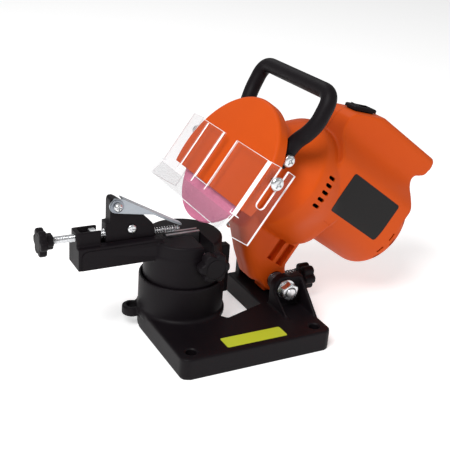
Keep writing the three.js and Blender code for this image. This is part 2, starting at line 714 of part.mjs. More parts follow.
// Grinding head, hung on the hinge bolt and leaned by its tilt
const statorEnd = motor.statorStart + motor.statorLength;
const glandU = (statorEnd + bulkhead.rearStart) / 2;
const lean = THREE.MathUtils.degToRad(head.tilt);
const headFrame = new THREE.Group();
const headPlace = new THREE.Vector3(
  -(head.pivotU * Math.cos(lean) + head.pivotV * Math.sin(lean)), 0,
  hinge.z - (-head.pivotU * Math.sin(lean) + head.pivotV * Math.cos(lean)),
);
headFrame.rotation.y = lean;
headFrame.position.copy(headPlace);
sharpener.add(headFrame);

// Housing: two shells that meet in the plane Y = 0, with the limb that reaches down to the hinge
function drumForm(inset) {
  const r = (radius) => radius - inset;
  return turned('x', [
    [housing.front + inset, 0],
    [housing.front + inset, r(housing.neck)],
    [housing.neckEnd, r(housing.neck)],
    [(housing.neckEnd + housing.drumStart) / 2, r((housing.neck + housing.drumRadius) / 2)],
    [housing.drumStart, r(housing.drumRadius)],
    [housing.drumEnd, r(housing.drumRadius)],
    [(housing.drumEnd + housing.shoulderEnd) / 2 - inset, r(housing.drumRadius - base.corner / 4)],
    [housing.shoulderEnd - inset, r((housing.drumRadius + housing.shoulderRadius) / 2)],
    [housing.shoulderEnd - inset, 0],
  ], 0, housing.drumV, 40);
}

function spineSection(inset) {
  const r = barrel.radius - inset;
  const half = barrel.spineHalf - inset;
  const top = barrel.spineTop - inset;
  const k = barrel.spineCorner;
  const waist = barrel.valley - barrel.flatTop;
  const right = [
    [r, barrel.flatTop],
    [half + (r - half) * 0.78, barrel.flatTop + waist * 0.45],
    [half + (r - half) * 0.4, barrel.flatTop + waist * 0.8],
    [half, barrel.valley],
    [half, top - k],
    [half - k / 3, top - k / 3],
    [half - k, top],
  ];
  const left = right.map(([p, q]) => [-p, q]).reverse();
  return [[-r, barrel.v], [r, barrel.v], ...right, ...left];
}

function barrelForm(inset) {
  const r = (radius) => radius - inset;
  const tube = drawn('x', spineSection(inset), barrel.spineStart + inset, barrel.spineEnd - inset);
  const drop = barrel.spineTop - barrel.spineRise;
  const lift = inset;
  const above = drawn('y', [
    [barrel.spineStart - overrun, barrel.spineRise - lift - base.corner],
    [barrel.spineStart + base.corner / 2, barrel.spineRise - lift],
    [barrel.crestU, barrel.spineTop - lift],
    [barrel.crestU, barrel.spineTop + drop],
    [barrel.spineStart - overrun, barrel.spineTop + drop],
  ], -barrel.radius - overrun, barrel.radius + overrun);
  const under = barrel.valley + base.corner / 2 + inset;
  const behind = drawn('y', [
    [barrel.domeStart - inset, barrel.v - overrun],
    [barrel.spineEnd + overrun, barrel.v - overrun],
    [barrel.spineEnd + overrun, under],
    [barrel.domeStart + base.corner - inset, under],
    [barrel.domeStart - inset, under - base.corner],
  ], -barrel.radius - overrun, barrel.radius + overrun);
  const dome = turned('x', [
    [barrel.spineStart + inset, 0],
    [barrel.spineStart + inset, r(barrel.radius)],
    [barrel.domeStart, r(barrel.radius)],
    [barrel.domeStart + (barrel.end - barrel.domeStart) * 0.5, r(barrel.radius * 0.98)],
    [barrel.domeStart + (barrel.end - barrel.domeStart) * 0.85, r(barrel.radius * 0.9)],
    [barrel.end - inset, r(barrel.radius * 0.76)],
    [barrel.end - inset, 0],
  ], 0, barrel.v, 40);
  return join(cut(tube, above, behind), dome);
}

function limbOutline() {
  const { pivotU: u, pivotV: v } = head;
  return [
    [limb.front, 0],
    [limb.front, v * 0.63],
    [limb.front * 1.34, v * 0.85],
    [limb.front * 1.55, v * 0.98],
    [u - 1.6 * limb.foot, v - limb.foot],
    ...arcPoints(u, v, limb.foot, -bend - bend / 3, bend * 0.66, 9),
    [limb.back, v * 0.74],
    [limb.back, 0],
  ];
}

// The heel stands out under the hinge, square to the depth screw
function limbHeel() {
  const heel = block(-limb.foot / 2, limb.heel, -limb.heelHalf, limb.heelHalf, limb.heelFoot, hinge.z);
  return heel.translate([-headPlace.x, 0, -headPlace.z]).rotate([0, -head.tilt, 0]);
}

function rockerPlaced(body) {
  return body
    .rotate([0, -rocker.tilt, 0])
    .translate([rocker.u, 0, rocker.v]);
}

function housingWhole() {
  const outside = join(
    drumForm(0), barrelForm(0), drawn('y', limbOutline(), -limb.half, limb.half), limbHeel(),
    rod('y', handle.boss, seat + handle.radius - handle.footHalf, handle.footHalf - handle.radius - seat,
      handle.u, handle.screwV),
  );
  const front = block(
    bulkhead.start, bulkhead.start + bulkhead.thick, -barrel.radius - overrun, barrel.radius + overrun,
    -barrel.radius, barrel.flatTop + barrel.v,
  );
  const rear = block(
    bulkhead.rearStart, bulkhead.rearStart + bulkhead.rearThick, -barrel.radius, barrel.radius,
    barrel.v - barrel.radius, barrel.v + barrel.radius,
  );
  const seatRing = rod('x', housing.seatRing, housing.front, housing.front + housing.seatLength, 0, 0);
  const hollow = cut(join(drumForm(housing.wall), barrelForm(housing.wall)), front, rear, seatRing);
  const shell = cut(outside, hollow);
  const bearingRoom = bearing.radius + seat;
  const frontPlane = housing.front - overrun;
  return cut(
    shell,
    rod('x', bearingRoom, frontPlane, bulkhead.start + bulkhead.thick + overrun, 0, 0),
    rod(
      'x', bearingRoom, bulkhead.start - overrun, bulkhead.rearStart + bulkhead.rearThick + overrun, 0,
      barrel.v,
    ),
    rod('y', hinge.bushRadius + seat, -limb.half - overrun, limb.half + overrun, head.pivotU, head.pivotV),
    rockerPlaced(block(
      -rocker.length / 2 + rocker.frame - seat, rocker.length / 2 - rocker.frame + seat,
      -rocker.width / 2 + rocker.frame - seat, rocker.width / 2 - rocker.frame + seat,
      -rocker.body - seat, rocker.body,
    )),
    ...ventCuts(), ...limbSlots(), ...endSlots(), ...handleHoles(), ...shellScrewHoles(),
    rod('y', gland.radius + seat, 0, barrel.radius + overrun, glandU, gland.v),
  );
}

function ventCuts() {
  return Array.from({ length: vent.count }, (_, i) => {
    const v = vent.top - i * vent.pitch;
    return block(
      vent.u - vent.length / 2, vent.u + vent.length / 2,
      -housing.drumRadius - overrun, housing.wall * 2 - housing.drumRadius,
      v - vent.width / 2, v + vent.width / 2,
    );
  });
}

function limbSlots() {
  const v0 = head.pivotV + limb.foot * 1.1;
  const first = limb.back - limb.slotWidth;
  return [0, 1].map((i) => {
    const u = first - i * limb.slotWidth * 1.5;
    return block(
      u - limb.slotWidth / 2, u + limb.slotWidth / 2,
      -limb.half - overrun, limb.slotDepth - limb.half,
      v0, v0 + limb.foot * 1.9,
    );
  });
}

function endSlots() {
  const slotTurns = [-0.9, -0.55, -0.2, 0.15, 0.5];
  return slotTurns.map((angle) => {
    const cutter = block(
      barrel.domeStart, barrel.domeStart + vent.length * 2,
      -barrel.radius * 1.2, -barrel.radius + 3 * housing.wall,
      -vent.width / 2, vent.width / 2,
    );
    return cutter.rotate([THREE.MathUtils.radToDeg(angle), 0, 0]).translate([0, 0, barrel.v]);
  });
}

function handleHoles() {
  return [-1, 1].map((side) => {
    const y = side * handle.footHalf;
    const [low, high] = [Math.min(0, y), Math.max(0, y)];
    return rod('y', handle.screwRadius + seat, low, high, handle.u, handle.screwV, shankSides);
  });
}

const shellScrewPlaces = [
  [limb.front + limb.foot, head.pivotV * 0.7],
  [bulkhead.start + bulkhead.thick / 2, barrel.flatTop],
  [barrel.spineEnd - 2 * barrel.spineCorner, barrel.spineTop - 2 * barrel.spineCorner],
];

function shellScrewHoles() {
  return shellScrewPlaces.map(([u, v]) => rod(
    'y', shellScrew.radius + seat, -shellScrew.reach, barrel.radius, u, v, shankSides,
  ));
}

const wholeHousing = housingWhole();
const reach = 2 * barrel.end;
const userSide = block(-reach, reach, -reach, -seat / 2, -reach, reach);
const farSide = block(-reach, reach, seat / 2, reach, -reach, reach);
place(headFrame, 'housing_near_shell', wholeHousing.intersect(userSide), finish.orangePlastic);
place(headFrame, 'housing_far_shell', wholeHousing.intersect(farSide), finish.orangePlastic);

shellScrewPlaces.forEach(([u, v], i) => {
  const onLimb = i === 0;
  const onSpine = i === 2;
  const limbFace = onLimb ? limb.half : barrel.spineHalf;
  const face = onLimb || onSpine ? limbFace : barrel.radius;
  const body = join(
    rod('y', shellScrew.head, face + seat, face + seat + shellScrew.headThick, u, v, headSides),
    rod('y', shellScrew.radius, -shellScrew.reach + seat, face + seat + overrun, u, v, shankSides),
  );
  place(headFrame, `shell_screw_${i + 1}`, body, finish.zinc);
});

// Wheel guard and the plate that closes it behind the wheel
function guardOutline(radius) {
  const drop = guard.chord - guard.centreV;
  const angle = Math.asin(drop / radius);
  return arcPoints(guard.centreY, guard.centreV, radius, angle, 2 * bend - angle, 26);
}

function guardCover() {
  const rings = [0, 1, 2, 3].map((i) => {
    const share = i / 4;
    const bite = guard.edge * (1 - Math.sqrt(1 - (1 - share) * (1 - share)));
    const from = guard.edge * share;
    return drawn('x', guardOutline(guard.radius - bite), from, guard.edge * (share + 1 / 4));
  });
  const skirt = drawn('x', guardOutline(guard.radius), guard.edge, guard.depth);
  const room = drawn(
    'x', guardOutline(guard.radius - 1.5 * guard.wall), guard.wall, guard.depth + overrun,
  );
  const mouth = block(
    guard.wall, guard.depth + overrun, guard.wall * 2 - guard.radius, guard.radius - guard.wall * 2,
    guard.chord - overrun, guard.chord + overrun,
  );
  const screwHoles = [-1, 1].map((side) => {
    const y = guard.centreY + side * guard.radius;
    const [low, high] = [Math.min(0, y) - overrun, Math.max(0, y) + overrun];
    return rod('y', visor.screwRadius + seat, low, high, visor.screwU, visor.screwV, shankSides);
  });
  return cut(join(...rings, skirt), room, mouth, ...screwHoles);
}

place(headFrame, 'wheel_guard', guardCover(), finish.orangePlastic);
const plateStart = guard.depth + seat;
const backing = cut(
  drawn('x', guardOutline(backPlate.radius), plateStart, plateStart + backPlate.thick),
  rod('x', backPlate.spindleHole, plateStart - overrun, plateStart + backPlate.thick + overrun, 0, 0),
);
place(headFrame, 'guard_back_plate', backing, finish.orangePlastic);

// Wheel, its flanges and nut on the spindle
const wheelBack = wheel.front + wheel.thick;
const abrasive = ringAlong('x', wheel.radius, wheel.bore + seat, wheel.front, wheelBack, 0, 0, 60);
place(headFrame, 'grinding_wheel', abrasive, finish.abrasive);
const outerFlangeBack = wheel.front - seat;
const outerFlange = ringAlong(
  'x', wheel.flange, spindle.radius + seat, outerFlangeBack - wheel.flangeThick, outerFlangeBack, 0, 0,
);
place(headFrame, 'outer_flange', outerFlange, finish.zinc);
const innerFlangeFront = wheelBack + seat;
const innerFlange = ringAlong(
  'x', spindle.collar + overrun, spindle.radius + seat, innerFlangeFront,
  innerFlangeFront + wheel.innerFlangeThick, 0, 0,
);
place(headFrame, 'inner_flange', innerFlange, finish.zinc);
const spindleNutBack = outerFlangeBack - wheel.flangeThick - seat;
const wheelNut = cut(
  drawn('x', hexagon(0, 0, spindle.nutFlat), spindle.nutFront, spindleNutBack),
  rod('x', spindle.radius + seat, 0, spindleNutBack + overrun, 0, 0),
);
place(headFrame, 'wheel_nut', wheelNut, finish.zinc);
const spindleShaft = rod('x', spindle.radius, spindle.front, spindle.end, 0, 0);
place(headFrame, 'spindle', spindleShaft, finish.steel);

// Reduction gears between the motor shaft and the spindle
const gearModule = (2 * barrel.v) / (gears.pinionTeeth + gears.gearTeeth);

// Each corner of a tooth, as a share of its pitch round the gear and of the module across it
const toothShares = [[-0.336, -1.2], [-0.1344, 0.8], [0.1344, 0.8], [0.336, -1.2]];

function gearBody(teeth, v, phase, hubFrom, hubTo) {
  const pitchRadius = (gearModule * teeth) / 2;
  const step = turn / teeth;
  const outline = [];
  for (let i = 0; i < teeth; i += 1) {
    toothShares.forEach(([turnShare, heightShare]) => {
      const angle = phase + step * (i + turnShare);
      const r = pitchRadius + gearModule * heightShare;
      outline.push([r * Math.cos(angle), v + r * Math.sin(angle)]);
    });
  }
  const body = drawn('x', outline, gears.start, gears.start + gears.width);
  return hubFrom < hubTo ? join(body, rod('x', gears.hub, hubFrom, hubTo, 0, v)) : body;
}

const gearFace = gears.start + gears.width;
const drivenGear = cut(
  gearBody(
    gears.gearTeeth, 0, bend + turn / gears.gearTeeth / 2, gearFace - overrun,
    gearFace + gears.hubLength,
  ),
  rod('x', spindle.radius + seat, gears.start - overrun, gearFace + gears.hubLength + overrun, 0, 0),
);
place(headFrame, 'driven_gear', drivenGear, finish.steel);
const pinion = cut(
  gearBody(gears.pinionTeeth, barrel.v, -bend, 0, 0),
  rod('x', motor.shaft + seat, gears.start - overrun, gearFace + overrun, 0, barrel.v),
);
place(headFrame, 'motor_pinion', pinion, finish.steel);

// Bearings of the spindle and of the motor
function ballBearing(name, start, v) {
  const ring = ringAlong('x', bearing.radius, bearing.bore, start, start + bearing.width, 0, v);
  place(headFrame, name, ring, finish.steel);
}
ballBearing('spindle_bearing_front', housing.front + seat, 0);
ballBearing('spindle_bearing_rear', bulkhead.start + seat, 0);
ballBearing('motor_bearing_front', bulkhead.start + seat, barrel.v);
ballBearing('motor_bearing_rear', bulkhead.rearStart - seat, barrel.v);

// Motor: wound stator, armature on its shaft, fan, commutator and brushes
const statorRadius = barrel.radius - housing.wall - seat;
const fanRadius = barrel.radius - housing.wall - motor.fanRoom;
place(headFrame, 'stator', ringAlong(
  'x', statorRadius, statorRadius - motor.statorDepth, motor.statorStart, statorEnd, 0, barrel.v, 40,
), finish.steel);
const armature = join(
  rod('x', motor.core, motor.statorStart + motor.coreInset, statorEnd - motor.coreInset, 0, barrel.v, 36),
  rod('x', motor.shaft, motor.shaftStart, motor.shaftEnd, 0, barrel.v),
);
place(headFrame, 'armature', armature, finish.steel);

function fanBody() {
  const start = motor.fanStart;
  const disc = rod('x', fanRadius, start, start + motor.fanThick, 0, barrel.v, 44);
  const hub = rod('x', motor.fanHub, start, start + motor.fanThick + motor.fanBlade, 0, barrel.v);
  const blades = Array.from({ length: motor.fanBlades }, (_, i) => block(
    start + motor.fanThick - overrun / 2, start + motor.fanThick + motor.fanBlade,
    -motor.bladeThick / 2, motor.bladeThick / 2, motor.fanHub - overrun, fanRadius - overrun,
  ).rotate([(360 * i) / motor.fanBlades, 0, 0]).translate([0, 0, barrel.v]));
  return cut(
    join(disc, hub, ...blades),
    rod(
      'x', motor.shaft + seat, start - overrun, start + motor.fanThick + motor.fanBlade + overrun, 0,
      barrel.v,
    ),
  );
}

place(headFrame, 'cooling_fan', fanBody(), finish.greyPlastic);
const commutatorEnd = motor.commutatorStart + motor.commutatorLength;
const commutator = ringAlong(
  'x', motor.commutator, motor.shaft + seat, motor.commutatorStart, commutatorEnd, 0, barrel.v,
);
place(headFrame, 'commutator', commutator, finish.copper);
const brushMiddle = (motor.commutatorStart + commutatorEnd) / 2;
[['brush_near', -1], ['brush_far', 1]].forEach(([name, side]) => {
  const inner = side * (motor.commutator + seat);
  const outer = side * (barrel.radius - 2 * housing.wall);
  place(headFrame, name, block(
    brushMiddle - motor.brushWidth / 2, brushMiddle + motor.brushWidth / 2,
    Math.min(inner, outer), Math.max(inner, outer), barrel.v - motor.brush, barrel.v + motor.brush,
  ), finish.carbon);
});

// Bush that turns on the hinge bolt
place(headFrame, 'hinge_bush', ringAlong(
  'y', hinge.bushRadius, hinge.boltRadius + seat, -limb.half, limb.half, head.pivotU, head.pivotV,
), finish.zinc);

// Carrying handle: one bent tube, screwed to the housing by its two feet
function handlePath() {
  const path = new THREE.CurvePath();
  const { half, corner, barV, kneeV, footHalf, footBendV, footV } = handle;
  const leanAt = (v) => (handle.forward * Math.max(0, v - kneeV)) / (barV - kneeV);
  const at = (y, v) => new THREE.Vector3(handle.u - leanAt(v), y, v);
  const straight = (a, b) => path.add(new THREE.LineCurve3(a, b));
  const bendOver = (a, b, c) => path.add(new THREE.QuadraticBezierCurve3(a, b, c));
  const soft = corner * 0.7;
  const [bendOut, bendUp] = [soft * 0.7, soft * 0.8];
  const bendEnd = (side) => at(side * (footHalf + bendOut), footBendV + bendUp);
  straight(at(footHalf, footV), at(footHalf, footBendV - soft));
  bendOver(at(footHalf, footBendV - soft), at(footHalf, footBendV), bendEnd(1));
  bendOver(bendEnd(1), at(half, kneeV), at(half, kneeV + soft));
  straight(at(half, kneeV + soft), at(half, barV - corner));
  bendOver(at(half, barV - corner), at(half, barV), at(half - corner, barV));
  straight(at(half - corner, barV), at(corner - half, barV));
  bendOver(at(corner - half, barV), at(-half, barV), at(-half, barV - corner));
  straight(at(-half, barV - corner), at(-half, kneeV + soft));
  bendOver(at(-half, kneeV + soft), at(-half, kneeV), bendEnd(-1));
  bendOver(bendEnd(-1), at(-footHalf, footBendV), at(-footHalf, footBendV - soft));
  straight(at(-footHalf, footBendV - soft), at(-footHalf, footV));
  return path;
}

function handleTube() {
  const section = outlineOf(arcPoints(0, 0, handle.radius, 0, turn, 10).slice(0, 10));
  const geometry = new THREE.ExtrudeGeometry(
    section, { steps: 52, extrudePath: handlePath(), bevelEnabled: false },
  );
  const tube = solid(geometry);
  const holes = [-1, 1].map((side) => {
    const y = side * handle.footHalf;
    const across = 2 * handle.radius;
    return rod('y', handle.screwRadius + seat, y - across, y + across, handle.u, handle.screwV, shankSides);
  });
  return cut(tube, ...holes);
}

place(headFrame, 'carry_handle', handleTube(), finish.blackPlastic);
[['handle_screw_near', -1], ['handle_screw_far', 1]].forEach(([name, side]) => {
  const face = handle.footHalf + handle.radius + seat;
  const span = (a, b) => [Math.min(side * a, side * b), Math.max(side * a, side * b)];
  const body = join(
    rod(
      'y', handle.screwHead, ...span(face, face + handle.screwHeadThick), handle.u, handle.screwV,
      headSides,
    ),
    rod(
      'y', handle.screwRadius, ...span(face + overrun, handle.screwReach), handle.u, handle.screwV,
      shankSides,
    ),
  );
  place(headFrame, name, body, finish.zinc);
});

// Clear visor: a bent sheet with side flaps, whose open slots slide on the two screws in the guard
function visorSheet() {
  const out = -visor.gap;
  const inn = -visor.gap - visor.thick;
  const t = visor.thick;
  const face = drawn('y', [
    [out, visor.top],
    [inn, visor.top],
    [inn, visor.bend],
    [visor.lipU, visor.lipV],
    [visor.lipU + t, visor.lipV - t / 2],
    [out, visor.bend - t / 2],
  ], -visor.half, visor.half);
  const flap = (side) => {
    const [y0, y1] = side < 0 ? [-visor.half, t - visor.half] : [visor.half - t, visor.half];
    return drawn('y', [
      [inn, visor.sideTop - t],
      [inn, visor.bend],
      [visor.lipU, visor.lipV],
      [visor.lipU + t, visor.sideBottom - t / 2],
      [visor.sideBack, visor.sideBottom],
      [visor.sideBack, visor.sideTop],
      [visor.screwU, visor.sideTop],
    ], y0, y1);
  };
  const slot = (side) => drawn('y', roundedBox(
    visor.screwU - visor.slotHalf, visor.screwU + visor.slotHalf, visor.slotBottom,
    visor.sideTop + visor.slotHalf + overrun, visor.slotHalf - seat,
  ), side * visor.half - t - overrun, side * visor.half + t + overrun);
  const notch = block(
    inn - overrun, out + overrun, visor.notchNear, visor.notchFar, visor.notchFoot, visor.top + overrun,
  );
  return cut(join(face, flap(-1), flap(1)), slot(-1), slot(1), notch);
}

place(headFrame, 'visor', visorSheet(), finish.clear);
[['visor_screw_near', -1], ['visor_screw_far', 1]].forEach(([name, side]) => {
  const face = visor.half + seat;
  const span = (a, b) => [Math.min(side * a, side * b), Math.max(side * a, side * b)];
  const body = join(
    rod(
      'y', visor.screwHead, ...span(face, face + visor.screwHeadThick), visor.screwU, visor.screwV,
      headSides,
    ),
    rod(
      'y', visor.screwRadius, ...span(face + overrun, face - visor.screwReach), visor.screwU,
      visor.screwV, shankSides,
    ),
  );
  place(headFrame, name, body, finish.zinc);
});

// Rocker switch in the top of the spine
const switchFrame = new THREE.Group();
switchFrame.position.set(rocker.u, 0, rocker.v);
switchFrame.rotation.y = -THREE.MathUtils.degToRad(rocker.tilt);
headFrame.add(switchFrame);

function switchBody() {
  const { length, width, frame, rim, body, key, keyWidth, keyThick } = rocker;
  const rimPlate = block(-length / 2, length / 2, -width / 2, width / 2, seat + rim / 2, seat + 2 * rim);
  const box = block(
    frame - length / 2, length / 2 - frame, frame - width / 2, width / 2 - frame, -body, seat + rim,
  );
  const roomHalf = key / 2 + 3 * seat;
  const room = block(
    -roomHalf, roomHalf, -keyWidth / 2 - seat, keyWidth / 2 + seat, -keyThick, overrun + 2 * rim,
  );
  return cut(join(rimPlate, box), room);
}

place(switchFrame, 'switch_body', switchBody(), finish.blackPlastic);

function rockerKey() {
  const { key, keyWidth, keyThick, lean: slant, rim } = rocker;
  const rise = (key / 2) * Math.tan(THREE.MathUtils.degToRad(slant));
  const low = -keyThick + rim;
  return drawn('y', [
    [-key / 2, rim * 2 + rise],
    [-key / 2 + rim, low + rise],
    [0, low],
    [key / 2 - rim, low + rise / 2],
    [key / 2, rim - rise / 2],
    [0, rim + rise / 4],
  ], -keyWidth / 2, keyWidth / 2);
}

place(switchFrame, 'switch_rocker', rockerKey(), finish.greyPlastic);

// Cable gland on the far side of the motor housing
const glandFace = barrel.radius + seat;
const glandBody = cut(
  join(
    rod('y', gland.radius, barrel.radius - 2 * housing.wall, glandFace + gland.length, glandU, gland.v, 18),
    rod('y', gland.flange, glandFace, glandFace + gland.flangeThick, glandU, gland.v, 18),
  ),
  rod(
    'y', gland.bore, barrel.radius - 3 * housing.wall, glandFace + gland.length + overrun, glandU,
    gland.v, 14,
  ),
);
place(headFrame, 'cable_gland', glandBody, finish.blackPlastic);

export default sharpener;
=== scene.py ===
from itertools import cycle
from math import asin, atan2, cos, pi, radians, sin, sqrt, tan

import bmesh
import bpy
from mathutils import Matrix, Vector
from mathutils.bvhtree import BVHTree


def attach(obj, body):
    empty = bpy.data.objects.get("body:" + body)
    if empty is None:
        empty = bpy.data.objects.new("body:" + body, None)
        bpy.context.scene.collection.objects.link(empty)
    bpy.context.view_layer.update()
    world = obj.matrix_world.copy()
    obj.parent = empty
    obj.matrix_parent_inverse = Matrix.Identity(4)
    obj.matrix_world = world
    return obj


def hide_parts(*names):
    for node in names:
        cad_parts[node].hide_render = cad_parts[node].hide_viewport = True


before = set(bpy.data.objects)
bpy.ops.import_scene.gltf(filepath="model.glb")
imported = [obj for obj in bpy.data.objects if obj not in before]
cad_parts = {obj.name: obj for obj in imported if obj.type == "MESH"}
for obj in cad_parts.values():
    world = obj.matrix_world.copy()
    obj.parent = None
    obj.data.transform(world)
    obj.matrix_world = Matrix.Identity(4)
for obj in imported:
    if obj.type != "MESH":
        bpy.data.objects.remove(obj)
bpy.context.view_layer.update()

scene = bpy.context.scene
scene.view_settings.view_transform = "Standard"

# The photograph's view: a long lens held above the user's left shoulder, tipped a little to one side.
# Its place and turn were solved from the base plate's corners and the head's axis.


def placed(name, data):
    made = bpy.data.objects.new(name, data)
    scene.collection.objects.link(made)
    return made


lens_pixels = 877.66
frame_pixels = 450
sensor_mm = 36
view_right = Vector((0.88716, -0.45653, 0.06718))
view_up = Vector((0.12540, 0.37861, 0.91703))
view_ahead = Vector((0.44409, 0.80513, -0.39314))
camera_spot = (-0.35188, -0.56249, 0.35481)
camera_data = bpy.data.cameras.new("camera")
camera_data.sensor_width = sensor_mm
camera_data.lens = lens_pixels / frame_pixels * sensor_mm
camera_data.clip_start = 0.02
camera_data.clip_end = 40
camera = placed("camera", camera_data)
camera.matrix_world = Matrix.Translation(camera_spot) @ Matrix(
    (view_right, view_up, -view_ahead)
).transposed().to_4x4()
scene.camera = camera

# A white sweep of card under soft studio lamps: a broad key from the upper left, a fill from the right
# and a lamp behind that draws the upper edges.


def filled(tree, made, inputs, **settings):
    """The node with its settings, and then with the values and links of its sockets."""
    for label, value in settings.items():
        setattr(made, label, value)
    for label, value in inputs.items():
        value = getattr(value, "socket", value)
        if isinstance(value, bpy.types.NodeSocket):
            tree.links.new(value, made.inputs[label])
        else:
            made.inputs[label].default_value = value
    return made


card_half = 6
card = bpy.data.meshes.new("card")
card_corners = ((-1, -1), (1, -1), (1, 1), (-1, 1))
card.from_pydata([(x * card_half, y * card_half, 0) for x, y in card_corners], [], [(0, 1, 2, 3)])
floor = placed("floor", card)
card_white = bpy.data.materials.new("white card")
card_white.use_nodes = True
filled(card_white.node_tree, card_white.node_tree.nodes["Principled BSDF"], {
    "Base Color": (0.95, 0.95, 0.95, 1), "Roughness": 0.9, "Specular IOR Level": 0.1,
    "Emission Color": (1, 1, 1, 1), "Emission Strength": 0.4,
})
card.materials.append(card_white)
lit_centre = Vector((-0.05, 0, 0.09))
lamps = (
    ("key lamp", (-0.9, -0.6, 1.4), 0.8, 20),
    ("fill lamp", (1.25, -1.15, 0.9), 0.9, 1.5),
    ("edge lamp", (0.1, 1.2, 1.35), 0.9, 3),
)
for lamp_name, lamp_place, lamp_size, lamp_watts in lamps:
    lamp_data = bpy.data.lights.new(lamp_name, "AREA")
    lamp_data.shape = "DISK"
    lamp_data.size = lamp_size
    lamp_data.energy = lamp_watts
    lamp = placed(lamp_name, lamp_data)
    lamp.location = lamp_place
    lamp.rotation_euler = (lit_centre - Vector(lamp_place)).to_track_quat("-Z", "Y").to_euler()
room = bpy.data.worlds.new("studio")
room.use_nodes = True
filled(room.node_tree, room.node_tree.nodes["Background"], {"Color": (1, 1, 1, 1), "Strength": 0.38})
scene.world = room

# Base casting: one black nylon moulding with the bench plate, the hinge platform, the swivel cup with
# its index post, the fixing ear, two hinge lugs with ribs, and the wall that the depth screw runs in.
MM = 0.001
SEAT = 0.3
RIGHT_ANGLE = pi / 2
SHARP = radians(38)
M8, M8_HOLE, M8_PITCH, M8_FLATS = 4, 4.3, 1.25, 13
PLACED = {
    "x": lambda along, p, q: (along, p, q),
    "y": lambda along, p, q: (p, along, q),
    "z": lambda along, p, q: (p, q, along),
}


def solid_of(points, faces):
    """A closed body from points in millimetres, with its faces turned outwards."""
    mesh = bpy.data.meshes.new("form")
    mesh.from_pydata([Vector(point) * MM for point in points], [], faces)
    shape = bmesh.new()
    shape.from_mesh(mesh)
    bmesh.ops.recalc_face_normals(shape, faces=shape.faces)
    shape.to_mesh(mesh)
    shape.free()
    return placed("form", mesh)


def skinned(points, count):
    """A body through rings of count points each, closed by flat ends."""
    faces = [list(range(count)), list(range(len(points) - count, len(points)))]
    for start in range(0, len(points) - count, count):
        for k in range(count):
            a, b = start + k, start + (k + 1) % count
            faces.append((a, b, b + count, a + count))
    return solid_of(points, faces)


def lofted(axis, rings):
    """A body through outlines with the same number of points, one for each place on the axis."""
    place = PLACED[axis]
    return skinned([place(along, p, q) for along, outline in rings for p, q in outline], len(rings[0][1]))


def arc(p, q, radius, start, end, steps):
    turns = [start + (end - start) * i / steps for i in range(steps + 1)]
    return [(p + radius * cos(a), q + radius * sin(a)) for a in turns]


def circle(p, q, radius, steps=72):
    return arc(p, q, radius, 0, 2 * pi, steps)[:-1]


def turned(axis, profile, p=0, q=0, steps=72):
    return lofted(axis, [(along, circle(p, q, radius, steps)) for along, radius in profile])


def quarter(steps):
    return [i / steps * RIGHT_ANGLE for i in range(steps + 1)]


def softened(low, high, soft, steps):
    """Places along a bar and how far its skin draws in there, for two edges rounded by soft."""
    foot = [(low + soft * (1 - sin(a)), soft * (1 - cos(a))) for a in reversed(quarter(steps))]
    return foot + [(high - soft * (1 - sin(a)), soft * (1 - cos(a))) for a in quarter(steps)]


def rod(axis, radius, low, high, p=0, q=0, soft=0, steps=72):
    """A round bar whose two edges are rounded by soft."""
    edges = softened(low, high, soft, 4) if soft else [(low, 0), (high, 0)]
    return turned(axis, [(along, radius - inset) for along, inset in edges], p, q, steps)


def drawn(axis, outline, low, high):
    return lofted(axis, [(low, outline), (high, outline)])


def edged(axis, outline, inner, low, high, edge):
    """A bar whose two ends draw in to the inner outline over the edge's depth."""
    return lofted(axis, [(low, inner), (low + edge, outline), (high - edge, outline), (high, inner)])


def block(x0, x1, y0, y1, z0, z1):
    return drawn("z", [(x0, y0), (x1, y0), (x1, y1), (x0, y1)], z0, z1)


def rounded(p0, p1, q0, q1, radius, steps=6):
    corners = ((p1, q0, -1), (p1, q1, 0), (p0, q1, 1), (p0, q0, 2))
    return [
        point for p, q, turns in corners
        for point in arc(
            p + (radius if p == p0 else -radius), q + (radius if q == q0 else -radius), radius,
            turns * RIGHT_ANGLE, (turns + 1) * RIGHT_ANGLE, steps,
        )
    ]


def settled(body):
    """The body with its modifiers worked into its mesh."""
    bpy.context.view_layer.update()
    made = bpy.data.meshes.new_from_object(body.evaluated_get(bpy.context.evaluated_depsgraph_get()))
    body.modifiers.clear()
    spent = body.data
    body.data = made
    bpy.data.meshes.remove(spent)
    return body


def changed(body, kind, **settings):
    change = body.modifiers.new(kind, kind)
    for name, value in settings.items():
        setattr(change, name, value)


def worked(body, operation, tools):
    for tool in tools:
        changed(body, "BOOLEAN", operation=operation, solver="MANIFOLD", object=tool)
    settled(body)
    for tool in tools:
        bpy.data.objects.remove(tool)
    return body


def joined(body, *others):
    return worked(body, "UNION", others)


def carved(body, *tools):
    return worked(body, "DIFFERENCE", tools)


def moulded(body, grain, passes):
    """The body skinned afresh in cells of grain and eased, which gives every edge a moulder's radius."""
    changed(body, "REMESH", mode="VOXEL", voxel_size=grain * MM)
    changed(body, "SMOOTH", factor=0.5, iterations=passes)
    return settled(body)


